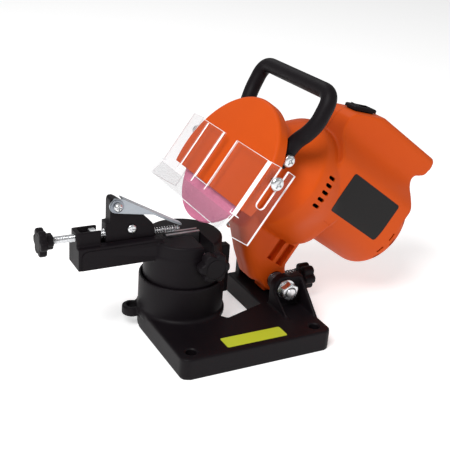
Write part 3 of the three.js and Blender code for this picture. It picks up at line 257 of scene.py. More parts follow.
class Grain:
    """A value on its way through a material. Sums and products of it add Math nodes."""

    def __init__(self, tree, socket=None):
        self.tree = tree
        self.socket = socket

    def node(self, kind, settings=None, inputs=None, output=0):
        made = self.tree.nodes.new("ShaderNode" + kind)
        for name, value in (settings or {}).items():
            if name == "stops":
                for element, (place, shade) in zip(made.color_ramp.elements, value):
                    element.position = place
                    element.color = (shade, shade, shade, 1)
            else:
                setattr(made, name, value)
        return Grain(self.tree, filled(self.tree, made, inputs or {}).outputs[output])

    def maths(self, operation, first, second):
        return self.node("Math", {"operation": operation}, {0: first, 1: second})

    def __add__(self, other):
        return self.maths("ADD", self, other)

    def __mul__(self, other):
        return self.maths("MULTIPLY", self, other)

    __radd__ = __add__
    __rmul__ = __mul__

    def between(self, first, second):
        return self.node("Mix", {"data_type": "RGBA"}, {0: self, 6: (*first, 1), 7: (*second, 1)}, 2)


def finish_of(name, paint, fixed=None):
    """A material for a slot. Its paint function gets a start and returns what varies, by socket name."""
    made = bpy.data.materials.new(name)
    made.use_nodes = True
    tree = made.node_tree
    filled(tree, tree.nodes["Principled BSDF"], {**(fixed or {}), **paint(Grain(tree))})
    return made


def noise(start, scale, detail):
    place = start.node("TexCoord", output="Object")
    return start.node("TexNoise", None, {"Vector": place, "Scale": scale, "Detail": detail})


def textured(name, dark, light, rough, grain_scale, grain_height, cloud_scale=30, shine=0.5):
    """Spark-eroded plastic: a fine grain in the skin, and soft clouds where the gloss changes."""

    def paint(start):
        fine = noise(start, grain_scale, 2.0)
        cloud = noise(start, cloud_scale, 3.0)
        return {
            "Base Color": (cloud * 0.7 + fine * 0.3).between(dark, light),
            "Roughness": cloud * 0.16 + (rough - 0.08),
            "Normal": start.node("Bump", None, {"Strength": 0.35, "Distance": grain_height, "Height": fine}),
        }

    return finish_of(name, paint, {"Specular IOR Level": shine})


black_plastic = textured(
    "black nylon", (0.0035, 0.0022, 0.0032), (0.010, 0.0075, 0.0095), 0.5, 1300, 0.00025,
    shine=0.12,
)


def fitted(piece, name, look, body, *nodes, slot=None):
    """Names a finished piece, gives it its look and hangs it on its body in place of its CAD nodes."""
    piece.name = piece.data.name = name
    piece.data.materials.clear()
    piece.data.materials.append(look)
    piece.data.shade_smooth()
    piece.data.set_sharp_from_angle(angle=SHARP)
    if nodes:
        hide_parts(*nodes)
    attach(piece, body)


plate_left, plate_right, plate_front, plate_back, plate_top = -112.2, 15.8, -82, 36, 17
plate_corner = 7
platform_left = -16.2
cup_x, cup_radius, cup_bore, cup_top = -77.8, 34, 31.8, 45
plate_outline = [
    *arc(plate_left + plate_corner, plate_front + plate_corner, plate_corner, pi, 1.5 * pi, 10),
    *arc(plate_right - plate_corner, plate_front + plate_corner, plate_corner, -RIGHT_ANGLE, 0, 10),
    (plate_right, plate_back), (platform_left, plate_back), (platform_left, -23), (platform_left - 36, -34.6),
    (cup_x, 0), (plate_left, 0),
]
ear_x, ear_y, ear_radius, ear_thick = -114.7, 11, 8.2, 7.6
lug_y, lug_thick, lug_radius, lug_top = 33, 8, 10.5, 41.5
hinge_z, depth_z = 32.3, 21.5


def hinge_lug(side):
    y0, y1 = sorted((side * lug_y, side * (lug_y - lug_thick)))
    cheek = block(-lug_radius, plate_right, y0, y1, plate_top - 1, lug_top)
    slant = lug_radius * 0.707
    slope = drawn("y", [
        (-lug_radius - 1, hinge_z), (-slant, hinge_z + slant), (0, hinge_z + lug_radius),
        (0, lug_top + lug_radius), (-lug_radius - 1, lug_top + lug_radius),
    ], y0 - 1, y1 + 1)
    return joined(carved(cheek, slope), rod("y", lug_radius, y0, y1, 0, hinge_z))


def lug_rib(x0, width, foot, top):
    root, toe = 1 - lug_y, -lug_y - foot
    return drawn("x", [
        (root, plate_top - 1), (toe, plate_top - 1), (toe, plate_top), (-lug_y, top), (root, top),
    ], x0, x0 + width)


post = block(cup_x + 32, cup_x + 40.6, -4, 4, 22, 64)
stop_wall = block(11.2, plate_right, 1 - lug_y, lug_y - 1, plate_top - 1, 31)
cup_fillet = [(plate_top - 4, 35.6), (plate_top + 0.5, 35.6), (plate_top + 1.6, 33.9)]
casting = joined(
    drawn("z", plate_outline, 0, plate_top),
    rod("z", cup_radius, 0, cup_top, cup_x, 0, steps=120),
    turned("z", cup_fillet, cup_x, 0, 120),
    rod("z", ear_radius, plate_top - ear_thick, plate_top, ear_x, ear_y),
    block(ear_x, cup_x - cup_bore + 1, ear_y - ear_radius, ear_y, plate_top - ear_thick, plate_top),
    post, stop_wall, hinge_lug(-1), hinge_lug(1),
    lug_rib(-lug_radius, 2.2, 23, 31), lug_rib(plate_right - 3, 3, 27, lug_top),
)
moulded(carved(casting, rod("z", cup_bore, 22, cup_top + 1, cup_x, 0, steps=120)), 0.9, 5)
bay_count, bay_top, bay_wall, bay_rib = 3, 13, 3.5, 3
bay_pitch = (plate_right - plate_left - 2 * bay_wall + bay_rib) / bay_count
swivel_well, hole_boss = 13, 7.7
bays = [
    block(
        plate_left + bay_wall + i * bay_pitch, plate_left + bay_wall - bay_rib + (i + 1) * bay_pitch,
        plate_front + bay_wall, -cup_radius - bay_wall, -1, bay_top,
    ) for i in range(bay_count)
]
hole_in, hole_radius, hole_mouth = 10.8, 4.2, 6.1
hole_y = plate_front + hole_in
hole_places = ((plate_left + hole_in, hole_y), (plate_right - hole_in, hole_y), (ear_x, ear_y))
hole_profile = [(-1, hole_radius), (plate_top - 0.9, hole_radius), (plate_top + 1, hole_mouth)]
for bay, (x, y) in zip(bays[::2], hole_places):
    carved(bay, rod("z", hole_boss, -2, bay_top + 1, x, y))
carved(
    casting, *bays, rod("z", swivel_well, -1, plate_top, cup_x, 0), rod("z", M8_HOLE, 0, 23, cup_x, 0),
    *[turned("z", hole_profile, x, y, 48) for x, y in hole_places],
    rod("y", M8_HOLE, -lug_y - 1, lug_y + 1, 0, hinge_z), rod("x", M8_HOLE, 0, plate_right + 1, 0, depth_z),
)
fitted(casting, "base_moulding", black_plastic, "base", "base_casting")

# Label: a thin yellow-green foil with rounded corners, stuck flat on the front of the bench plate. It is
# sunk a little in the plate, so that only its face and its edge stand out.
label_foil = textured(
    "label foil", (0.50, 0.58, 0.028), (0.56, 0.65, 0.04), 0.36, 700, 0.00003,
)
label_outline = rounded(-73.4, -21.9, -76, -62.5, 1.6)
label = drawn("z", label_outline, plate_top - 0.2, plate_top + 0.25)
fitted(label, "base_label", label_foil, "base")

# Hinge bolt: bright zinc plated M8 hardware through both lugs, with a washer, a chamfered nut and the
# bolt's rounded end standing out of it on the user's side.


def brushed(name, dark, light, rough, streak, height, metallic=1.0):
    """Plated or drawn metal: faint streaks along the work and cloudy patches in the plating."""

    def paint(start):
        place = start.node("TexCoord", output="Object")
        run = start.node("Mapping", None, {"Vector": place, "Scale": (60, 60, 2200)})
        lines = start.node("TexNoise", None, {"Vector": run, "Scale": 1.0, "Detail": 3.0})
        cloud = noise(start, 140.0, 2.0)
        return {
            "Base Color": (lines * streak + cloud * (1 - streak)).between(dark, light),
            "Roughness": cloud * 0.18 + (rough - 0.09),
            "Normal": start.node("Bump", None, {"Strength": 0.25, "Distance": height, "Height": lines}),
        }

    return finish_of(name, paint, {"Metallic": metallic})


zinc = brushed("bright zinc", (0.62, 0.63, 0.65), (0.86, 0.87, 0.88), 0.27, 0.35, 0.00006)
steel = brushed("drawn steel", (0.42, 0.43, 0.45), (0.74, 0.75, 0.77), 0.33, 0.7, 0.0001)


def threaded(axis, radius, pitch, low, high, p=0, q=0, depth=0.45, steps=24):
    """A screwed bar: one thread that winds along it, closed by flat ends."""
    place = PLACED[axis]
    levels = max(4, int((high - low) / pitch * 6))
    points = []
    for i in range(levels + 1):
        along = low + (high - low) * i / levels
        fade = min(1, i / 4, (levels - i) / 4)
        for k in range(steps):
            turn = k / steps
            cut = depth * (0.5 - 0.5 * cos(2 * pi * (along / pitch - turn)))
            r = radius - depth * (1 - fade) - cut * fade
            points.append(place(along, p + r * cos(2 * pi * turn), q + r * sin(2 * pi * turn)))
    return skinned(points, steps)


def hexagonal(axis, flat, low, high, p, q, phase=0.0):
    """A hexagon of bar stock whose corners are turned off at its ends."""
    stock = drawn(axis, arc(p, q, flat / sqrt(3), phase, phase + 2 * pi, 6)[:-1], low, high)
    corner, flat_round, drop = flat / sqrt(3) + 0.05, flat / 2 * 0.97, 0.9
    profile = [(low, flat_round), (low + drop, corner), (high - drop, corner), (high, flat_round)]
    return worked(stock, "INTERSECT", [turned(axis, profile, p, q)])


def ring(axis, outer, inner, low, high, p=0, q=0, soft=0.25):
    return carved(rod(axis, outer, low, high, p, q, soft), rod(axis, inner, low - 1, high + 1, p, q))


washer_back = -lug_y - SEAT
washer_front = washer_back - 1.6
nut_back = washer_front - SEAT
nut_thick = 6.5
nut_front = nut_back - nut_thick
washer = ring("y", 8, M8_HOLE, washer_front, washer_back, 0, hinge_z)
fitted(washer, "hinge_washer_ring", zinc, "base", "hinge_washer")
nut = hexagonal("y", M8_FLATS, nut_front, nut_back, 0, hinge_z, RIGHT_ANGLE / 3)
nut_bore = [(nut_front - 1, 5.6), (nut_front + 0.9, M8_HOLE), (nut_back + 1, M8_HOLE)]
carved(nut, turned("y", nut_bore, 0, hinge_z))
fitted(nut, "hinge_nut_turned", zinc, "base", "hinge_nut")
bolt = joined(
    rod("y", M8, nut_front - 1, nut_back + 1, 0, hinge_z, soft=0.7),
    rod("y", M8 - 0.05, nut_back, lug_y + 1, 0, hinge_z),
    hexagonal("y", M8_FLATS, lug_y + SEAT, lug_y + SEAT + nut_thick, 0, hinge_z),
)
fitted(bolt, "hinge_bolt_turned", zinc, "base", "hinge_bolt")


# Springs: drawn wire wound round the bolt, round the depth screw and in front of the stop carriage.
# Each is wound by one set of Geometry Nodes from its turns, radius, length and wire.
def nodes_for(name, sizes):
    """An empty Geometry Nodes tree with named inputs, and a maker of its nodes."""
    tree = bpy.data.node_groups.new(name, "GeometryNodeTree")
    tree.interface.new_socket("Geometry", in_out="INPUT", socket_type="NodeSocketGeometry")
    for label, kind in sizes:
        tree.interface.new_socket(label, in_out="INPUT", socket_type="NodeSocket" + kind)
    tree.interface.new_socket("Geometry", in_out="OUTPUT", socket_type="NodeSocketGeometry")
    entry = tree.nodes.new("NodeGroupInput")
    leave = tree.nodes.new("NodeGroupOutput")

    def add(kind, inputs, **settings):
        return filled(tree, tree.nodes.new("GeometryNode" + kind), inputs, **settings)

    def end(geometry, look):
        real = add("RealizeInstances", {"Geometry": geometry})
        dressed = add("SetMaterial", {"Geometry": real.outputs[0], "Material": look})
        tree.links.new(dressed.outputs[0], leave.inputs[0])
        return tree

    return tree, entry.outputs, add, end


def grown(tree, values, start=None):
    """A piece grown by a Geometry Nodes tree from its named values, as a plain mesh."""
    body = start or solid_of([(0, 0, 0), (1, 0, 0), (0, 1, 0)], [(0, 1, 2)])
    growth = body.modifiers.new("growth", "NODES")
    growth.node_group = tree
    for item in tree.interface.items_tree:
        if item.in_out == "INPUT" and item.name in values:
            growth[item.identifier] = values[item.name]
    return settled(body)


coil_tree, coil_in, coil_add, coil_end = nodes_for("wound spring", (
    ("Turns", "Float"), ("Radius", "Float"), ("Length", "Float"), ("Wire", "Float"), ("Finish", "Material"),
))
coil_path = coil_add("CurveSpiral", {
    "Resolution": 32, "Rotations": coil_in["Turns"], "Start Radius": coil_in["Radius"],
    "End Radius": coil_in["Radius"], "Height": coil_in["Length"],
})
coil_section = coil_add("CurvePrimitiveCircle", {"Resolution": 10, "Radius": coil_in["Wire"]})
coil_skin = coil_add("CurveToMesh", {
    "Curve": coil_path.outputs[0], "Profile Curve": coil_section.outputs[0], "Fill Caps": True,
})
coil_end(coil_skin.outputs[0], coil_in["Finish"])


def wound(axis, radius, wire, low, high, turns, p, q):
    """A coil spring along an axis, from low to high, wound on the tree above."""
    coil = grown(coil_tree, {
        "Turns": float(turns), "Radius": radius * MM, "Length": (high - low - wire) * MM,
        "Wire": wire / 2 * MM, "Finish": steel,
    })
    turn_to = {"x": Matrix.Rotation(RIGHT_ANGLE, 4, "Y"), "y": Matrix.Rotation(-RIGHT_ANGLE, 4, "X")}[axis]
    spot = Vector(PLACED[axis](low + wire / 2, p, q)) * MM
    coil.data.transform(Matrix.Translation(spot) @ turn_to)
    return coil


dark_steel = brushed("oiled spring steel", (0.06, 0.06, 0.065), (0.16, 0.16, 0.17), 0.4, 0.6, 0.0001)
limb_side, lug_inside = 16, 25
lift_coil = wound("y", 7, 1.3, SEAT - lug_inside, -limb_side - SEAT, 4, 0, hinge_z)
fitted(lift_coil, "lift_spring_wire", dark_steel, "base", "lift_spring")
spacer_tube = ring("y", 7, M8_HOLE, limb_side + SEAT, lug_inside - SEAT, 0, hinge_z)
fitted(spacer_tube, "hinge_spacer_tube", zinc, "base", "hinge_spacer")

# Depth stop: a zinc plated screw that runs through the stop wall with a spring round it, and a black
# lobed knob moulded on its end.
knob_start, knob_thick, knob_radius = 35, 10, 11.2


def lobed(p, q, radius, lobes, hollow, inset=0.0, steps=144):
    """A hand knob's outline: a round with a shallow hollow between each two lobes."""
    outline = []
    for i in range(steps):
        a = 2 * pi * i / steps
        r = radius - hollow * sin(lobes * a / 2) ** 4 - inset
        outline.append((p + r * cos(a), q + r * sin(a)))
    return outline


def hand_knob(axis, low, high, radius, lobes, hollow, p, q, soft, dish_low=False):
    """A knob's grip: rounded edges, a shallow ring sunk in its outer face."""
    rings = softened(low, high, soft, 5)
    grip = lofted(axis, [(along, lobed(p, q, radius, lobes, hollow, inset)) for along, inset in rings])
    face, way = (low, -1) if dish_low else (high, 1)
    groove = ring(axis, radius * 0.66, radius * 0.6, *sorted((face - way * 0.35, face + way)), p, q, soft=0.1)
    return carved(grip, groove)


depth_grip = joined(
    hand_knob("x", knob_start, knob_start + knob_thick, knob_radius, 6, 2.2, 0, depth_z, 1.6),
    rod("x", 6.5, knob_start - 3, knob_start + 1, 0, depth_z, soft=0.5),
)
carved(depth_grip, rod("x", M8_HOLE, knob_start - 4, knob_start, 0, depth_z))
fitted(depth_grip, "depth_knob_grip", black_plastic, "depth_grip", "depth_knob")
depth_thread = threaded("x", M8, M8_PITCH, 10.0, knob_start - SEAT, 0, depth_z)
fitted(depth_thread, "depth_screw_thread", zinc, "depth_stop", "depth_screw")
depth_coil = wound("x", 6.6, 1.3, plate_right + SEAT, knob_start - 3 - SEAT, 5, 0, depth_z)
fitted(depth_coil, "depth_spring_wire", dark_steel, "base", "depth_spring")

# Chain vice: a black drum that turns in the cup, with the long arm, its raised side panel and the open
# channel that guides the feed screw. One moulding.
drum_radius, drum_foot, drum_top = 30.8, 22.3, 78.5
arm_left, arm_half, arm_bottom, arm_top = -166.5, 12, 64.3, 81.7
channel_end, slot_end = arm_left + 18.8, -99
M6, M6_HOLE, M6_PITCH, feed_z = 3, 3.3, 1.0, 87
vice = joined(
    turned("z", [
        (drum_foot, drum_radius - 0.6), (drum_foot + 0.6, drum_radius), (67.8, drum_radius),
        (68.4, drum_radius - 0.5), (drum_top - 1.2, drum_radius - 0.5), (drum_top, drum_radius - 1.7),
    ], cup_x, 0, 120),
    block(arm_left, -100, -arm_half + 0.6, arm_half - 0.6, arm_bottom, arm_top),
    block(arm_left, channel_end, -6.6, 6.6, arm_top - 1, 92.8),
)
vice_cuts = (
    block(arm_left + 3.5, channel_end + 1, -4.4, 4.4, arm_top, 94),
    block(channel_end, slot_end, -2.9, 2.9, 76.7, 83),
)
moulded(carved(vice, *vice_cuts), 0.75, 3)
panel_corner = 5
panel_outline = [
    (arm_left + 2.4, arm_bottom + 0.4), (-104, arm_bottom + 0.4), (-104, arm_top - 2.2),
    *arc(arm_left + 2.4 + panel_corner, arm_top - 2.2 - panel_corner, panel_corner, RIGHT_ANGLE, pi, 8),
]
for panel_low, panel_high in ((-arm_half, -arm_half + 1.4), (arm_half - 1.4, arm_half)):
    joined(vice, drawn("y", panel_outline, panel_low, panel_high))
rail_slot = block(-94.3, -65.5, -5.9, 3.4, 56.7, drum_top + 1)
clamp_recess = block(-74.4, -65, -drum_radius - 1, -1.3, 60.3, drum_top + 1)
carved(
    vice,
    block(arm_left + 3, cup_x - drum_radius, -9, 9, arm_bottom - 1, 73.7),
    rod("x", M6_HOLE, arm_left - 1, arm_left + 4.5, 0, feed_z, steps=40),
    rail_slot, clamp_recess,
    rod("z", M8_HOLE, drum_foot - 1, drum_foot + 30, cup_x, 0, steps=40),
)
fitted(vice, "vice_moulding", black_plastic, "vice", "vice_body")

# Chain rails: two strips of bright steel, the far one fixed in the drum and the near one the jaw that
# the clamp screw presses on the chain.
rail_left, rail_right, rail_foot, rail_top = -94, -65.8, 57, 80.3


def strip(y0, y1):
    edge = 0.35
    outline, inner = [
        [(rail_left + cut, rail_foot + cut), (rail_right - cut, rail_foot + cut),
         (rail_right - cut, rail_top - cut), (rail_left + cut, rail_top - cut)] for cut in (0, edge)
    ]
    return edged("y", outline, inner, y0, y1, edge)


fitted(strip(1.3, 3.1), "fixed_rail_strip", steel, "vice", "fixed_rail")
fitted(strip(-3.7, -1.3), "clamp_jaw_strip", steel, "jaw", "clamp_jaw")

# Clamp screw: a bright M8 screw that closes the jaw on the chain, with a black lobed knob moulded on its
# end. A ring is sunk in the knob's outer face.
clamp_x, clamp_z, clamp_back = -69.7, 65, -33.2
clamp_thread = threaded("y", M8, M8_PITCH, clamp_back - 1, -4, clamp_x, clamp_z)
fitted(clamp_thread, "clamp_screw_thread", zinc, "clamp", "clamp_screw")
clamp_grip = joined(
    hand_knob("y", clamp_back - 9.2, clamp_back, 12.4, 6, 2.4, clamp_x, clamp_z, 2.0, dish_low=True),
    rod("y", 6.5, clamp_back - 1, clamp_back + 1, clamp_x, clamp_z, soft=0.3),
)
carved(clamp_grip, rod("y", M8_HOLE, clamp_back - 1.3, 0, clamp_x, clamp_z))
fitted(clamp_grip, "clamp_knob_grip", black_plastic, "clamp", "clamp_knob")

# Feed screw: a bright M6 screw that runs in a nut held in the channel, with its black lobed knob, and a
# collar that pushes and pulls the stop carriage.
feed_knob_x, feed_grip_thick = -193.9, 5.6
carriage_left, carriage_wall = -140.5, 3.2
feed_tip = carriage_left + 3 - carriage_wall
feed_thread = joined(
    threaded("x", M6, M6_PITCH, feed_knob_x + feed_grip_thick, feed_tip, 0, feed_z, 0.38),
    rod("x", 4.2, carriage_left - carriage_wall + SEAT, feed_tip, 0, feed_z, soft=0.4, steps=40),
)
fitted(feed_thread, "feed_screw_thread", zinc, "feed", "feed_screw")
feed_hub_end = feed_knob_x + feed_grip_thick + 5.3
feed_grip = joined(
    hand_knob("x", feed_knob_x, feed_knob_x + feed_grip_thick, 10.8, 6, 2.2, 0, feed_z, 1.5, dish_low=True),
    lofted("x", [
        (feed_knob_x + 1, lobed(0, feed_z, 6.1, 6, 0.8)), (feed_hub_end - 0.5, lobed(0, feed_z, 6.1, 6, 0.8)),
        (feed_hub_end, lobed(0, feed_z, 5.6, 6, 0.8)),
    ]),
)
carved(feed_grip, rod("x", M6_HOLE, feed_knob_x + 5.3, feed_hub_end + 1, 0, feed_z))
fitted(feed_grip, "feed_knob_grip", black_plastic, "feed", "feed_knob")
block_start, block_end, block_edge = -155, -150, 0.3
block_face, block_side = rounded(-3.8, 3.8, 82.3, 91.5, 0.6, 3), rounded(-4.1, 4.1, 82, 91.8, 0.8, 3)
feed_block = carved(
    edged("x", block_side, block_face, block_start, block_end, block_edge),
    rod("x", M6_HOLE, block_start - 1, block_end + 1, 0, feed_z, steps=40),
)
fitted(feed_block, "feed_nut_block", zinc, "vice", "feed_nut")

# Stop carriage: a black moulding that slides on the arm, with a tall back for the pawl's screw and a
# sloping nose. A tongue under it runs in the arm's slot.
carriage_right, carriage_foot, carriage_half = -104.2, 82, 5
pivot_x, pivot_z, lock_x, lock_z, guide_z = -136.1, 110.6, -123.5, 90.6, 83.7
carriage_outline = [
    (carriage_left, carriage_foot), (carriage_right, carriage_foot), (carriage_right, 87), (-106.2, 92.6),
    (-113.8, 100), (-134.5, 115.2), (-136.5, 116.2), *arc(-138.2, 113.9, 2.3, RIGHT_ANGLE, pi, 5),
]
carriage = moulded(joined(
    drawn("y", carriage_outline, -carriage_half, carriage_half),
    block(carriage_left - carriage_wall, carriage_left + 1, -carriage_half, carriage_half, carriage_foot, 97),
), 0.5, 3)
carriage = joined(carriage, block(carriage_left, carriage_right, -2.6, 2.6, 77, carriage_foot + 1))
carved(
    carriage, rod("x", 4.5, carriage_left - carriage_wall - 1, feed_tip + SEAT, 0, feed_z, steps=40),
    rod("y", 2.3, -6, 0, pivot_x, pivot_z, steps=32), rod("y", 2.1, -6, 0, lock_x, lock_z, steps=32),
    rod("x", 1.2, -113.8, carriage_right + 1, 0, guide_z, steps=32),
)
fitted(carriage, "stop_carriage_moulding", black_plastic, "carriage", "stop_carriage")

# Pawl: a folded blade of zinc plated sheet whose top edge turns over and runs on as the finger that
# holds the saw chain's tooth. It swings on a cross headed screw with a spring washer.
blade_back = -carriage_half - SEAT
blade_front = blade_back - 1.5
finger_start, finger_z, blade_end, tip_x, tip_z, sheet_depth = -130.8, 115.2, -105.7, -81, 87.7, 1.3
finger_slope = atan2(finger_z - tip_z, finger_start - tip_x)
blade_end_z = tip_z + (blade_end - tip_x) * tan(finger_slope)
blade = joined(
    drawn("y", [
        *arc(pivot_x, pivot_z, 5.5, RIGHT_ANGLE * 1.8, RIGHT_ANGLE * 2.9, 14),
        (blade_end, blade_end_z - sheet_depth), (blade_end, blade_end_z),
        (finger_start, finger_z), (pivot_x - 1.8, finger_z + 1.3),
    ], blade_front, blade_back),
    carved(
        drawn("y", [
            (finger_start, finger_z - sheet_depth), (tip_x - 1.3, tip_z - sheet_depth),
            (tip_x + 0.65, tip_z - sheet_depth), (tip_x, tip_z), (finger_start, finger_z),
        ], blade_front, 3),
        drawn("z", [
            (blade_end, blade_front - 1), (tip_x + 5.2, blade_front - 1), (tip_x + 5.2, -0.5),
        ], 82, 121.4),
    ),
)
carved(blade, rod("y", 2.3, blade_front - 1, blade_back + 1, pivot_x, pivot_z, steps=40))
sheet_steel = brushed(
    "zinc plated sheet", (0.34, 0.37, 0.41), (0.50, 0.54, 0.58), 0.42, 0.5, 0.00005, metallic=0.85,
)
fitted(blade, "pawl_sheet", sheet_steel, "pawl", "pawl")
spring_washer = brushed("blued washer", (0.16, 0.18, 0.21), (0.34, 0.36, 0.40), 0.32, 0.4, 0.00006)
pawl_ring = ring("y", 5.2, 2.3, blade_front - 1.1, blade_front - SEAT, pivot_x, pivot_z, soft=0.2)
fitted(pawl_ring, "pawl_washer_ring", spring_washer, "carriage", "pawl_washer")


# Cross headed screws: pan heads of bright zinc with a cross recess. Geometry Nodes set the pattern at
# each screw's place with its turn, and later the vents and pockets of the housing in the same way.
def pan_head(radius, thick, shank, reach):
    """A screw along +Z with the underside of its head at zero."""
    head = turned("z", [
        (-0.02, radius * 0.97), (thick * 0.3, radius),
        *[(thick * (0.3 + 0.7 * sin(a)), radius * (0.42 + 0.58 * cos(a))) for a in quarter(5)[1:]],
    ], steps=48)
    arm_half_width, arm_reach = radius * 0.13, radius * 0.58
    depth = thick * 0.5
    cross = joined(
        block(-arm_reach, arm_reach, -arm_half_width, arm_half_width, thick - depth, thick + 1),
        block(-arm_half_width, arm_half_width, -arm_reach, arm_reach, thick - depth, thick + 1),
        turned("z", [(thick - depth * 1.3, radius * 0.1), (thick + 1, radius * 0.36)], steps=24),
    )
    carved(head, cross)
    return joined(head, rod("z", shank, -reach, 0.5, soft=0.3, steps=24))


row_tree, row_in, row_add, row_end = nodes_for("set of like pieces", (
    ("Pattern", "Object"), ("Finish", "Material"),
))
row_pattern = row_add("ObjectInfo", {"Object": row_in["Pattern"]})
row_turn = row_add("InputNamedAttribute", {"Name": "turn"}, data_type="FLOAT_VECTOR")
row_set = row_add("InstanceOnPoints", {
    "Points": row_in["Geometry"], "Instance": row_pattern.outputs["Geometry"],
    "Rotation": row_turn.outputs[0],
})
row_end(row_set.outputs[0], row_in["Finish"])


def set_of(pattern, places, look, turns):
    """The pattern set at every place in millimetres with its turn, as one mesh. The pattern is used up."""
    mesh = bpy.data.meshes.new("places")
    mesh.from_pydata([Vector(place) * MM for place in places], [], [])
    mesh.attributes.new("turn", "FLOAT_VECTOR", "POINT").data.foreach_set(
        "vector", [angle for _, turn in zip(places, cycle(turns)) for angle in turn],
    )
    made = grown(row_tree, {"Pattern": pattern, "Finish": look}, placed("places", mesh))
    bpy.data.objects.remove(pattern)
    return made


straight, to_user, away = [(0, 0, 0)], [(RIGHT_ANGLE, 0, 0)], [(-RIGHT_ANGLE, 0, 0)]
pawl_head_back = blade_front - SEAT - 0.8 - SEAT
pawl_pan = set_of(pan_head(3.4, 3.4, 1.95, 7), [(pivot_x, pawl_head_back, pivot_z)], zinc, to_user)
fitted(pawl_pan, "pawl_screw_pan", zinc, "carriage", "pawl_screw")
lock_pan = set_of(pan_head(3.6, 2, 1.8, 3.6), [(lock_x, -carriage_half - SEAT, lock_z)], zinc, to_user)
fitted(lock_pan, "carriage_screw_pan", zinc, "carriage", "carriage_screw")
guide_start, guide_end, guide_head = -113.5, -82, 2
guide_rod = joined(
    rod("x", 0.9, guide_start, guide_end, 0, guide_z, soft=0.2, steps=24),
    rod("x", 1.6, guide_end - guide_head, guide_end, 0, guide_z, soft=0.4, steps=24),
)
fitted(guide_rod, "stop_rod_wire", zinc, "carriage", "stop_rod", slot="steel")
stop_coil = wound("x", 2.1, 0.6, carriage_right + SEAT, guide_end - guide_head - SEAT, 9, 0, guide_z)
fitted(stop_coil, "stop_spring_wire", zinc, "carriage", "stop_spring", slot="steel")

# Motor housing: two orange shells with the gear case drum, the motor barrel, the spine that carries the
# switch, and the limb down to the hinge. They meet in the middle of the machine in a fine seam.
head_tilt, hinge_u, hinge_v = radians(35), 98.6, -57.1
head_x = -(hinge_u * cos(head_tilt) + hinge_v * sin(head_tilt))
head_z = hinge_z + hinge_u * sin(head_tilt) - hinge_v * cos(head_tilt)
HEAD = Matrix.Translation(Vector((head_x, 0, head_z)) * MM) @ Matrix.Rotation(head_tilt, 4, "Y")


def leaned(piece):
    piece.data.transform(HEAD)
    return piece


orange_plastic = textured(
    "orange nylon", (0.59, 0.070, 0.0030), (0.685, 0.089, 0.0045), 0.5, 1500, 0.00016,
    cloud_scale=22, shine=0.14,
)
wall = 2.6
barrel_v, barrel_radius, flat_top, barrel_start, dome_start = 27.6, 39.8, 50, 66, 159.5
spine_half, spine_top, spine_end, valley, tail_past = 18, 102.4, 171, 79, 172
case_front, case_v, case_radius = 12, 19, 48
FLANK_SHARES = (0, 0.02, 0.08, 0.2, 0.36, 0.53, 0.7, 0.84, 0.94)


def spine_section(inset=0.0):
    r, half, top = barrel_radius - inset, spine_half - inset, spine_top - inset
    waist = valley - flat_top
    right = [(r, flat_top)]
    for i in range(1, 12):
        share = i / 12
        ease = 0.5 + 0.5 * cos(pi * share)
        right.append((half + (r - half) * ease, flat_top + waist * share))
    right += [(half, valley), *arc(half - 6, top - 6, 6, 0, RIGHT_ANGLE, 6)]
    return [(-r, barrel_v), (r, barrel_v), *right, *[(-p, q) for p, q in reversed(right)]]


def eased(share):
    share = max(0, min(1, share))
    return share * share * (3 - 2 * share)


def case_form(inset=0.0):
    """The gear case: round in front, with flanks that fall away behind into the motor barrel."""
    stages = [
        (case_front + inset, 31.2, 0), (30, 31.2, 0), (41, 39.6, 0), (52, case_radius, 0),
        *[(58 + 4 * i, case_radius, share) for i, share in enumerate(FLANK_SHARES)],
        (93, case_radius - 1.8, 0.98), (96.4 - inset, 44.5, 1), (98 - inset, 39, 1),
    ]
    rings = []
    for along, radius, blend in stages:
        outline = []
        for i in range(120):
            turn = 2 * pi * i / 120
            below = eased((-sin(turn) - 0.4) / 0.5)
            reach = radius - (radius - min(radius, 38.2)) * blend * (1 - below) - inset
            outline.append((reach * cos(turn), case_v + reach * sin(turn)))
        rings.append((along, outline))
    return lofted("x", rings)


def tail_outline(inset):
    """The line behind the spine's tail: round its corner, then hollow down to the barrel."""
    tail = arc(spine_end - 9 - inset, valley + 3.5 + inset + 9, 9, 0, -RIGHT_ANGLE, 8)
    hollow = arc(dome_start - inset + 6, valley - 2.5 + inset, 6, RIGHT_ANGLE, pi, 6)
    return [(tail_past, tail[0][1]), *tail, *hollow]


def barrel_form(inset=0.0):
    past = barrel_radius + 2.2
    tube = drawn("x", spine_section(inset), barrel_start + inset, spine_end - inset)
    carved(
        tube,
        drawn("y", [
            (65, 83), (69.5, 90 - inset), (100, spine_top - inset), (100, 115), (65, 115),
        ], -past, past),
        drawn("y", [
            (dome_start - inset, barrel_v - 1), (tail_past, barrel_v - 1), *tail_outline(inset),
        ], -past, past),
    )
    dome = turned("x", [
        (barrel_start + inset, barrel_radius - inset), (dome_start, barrel_radius - inset),
        (162, 39.6 - inset), (164.4, 38.3 - inset), (166.4, 35.6 - inset), (167.5 - inset, 30.2 - inset),
    ], 0, barrel_v, 120)
    return joined(tube, dome)


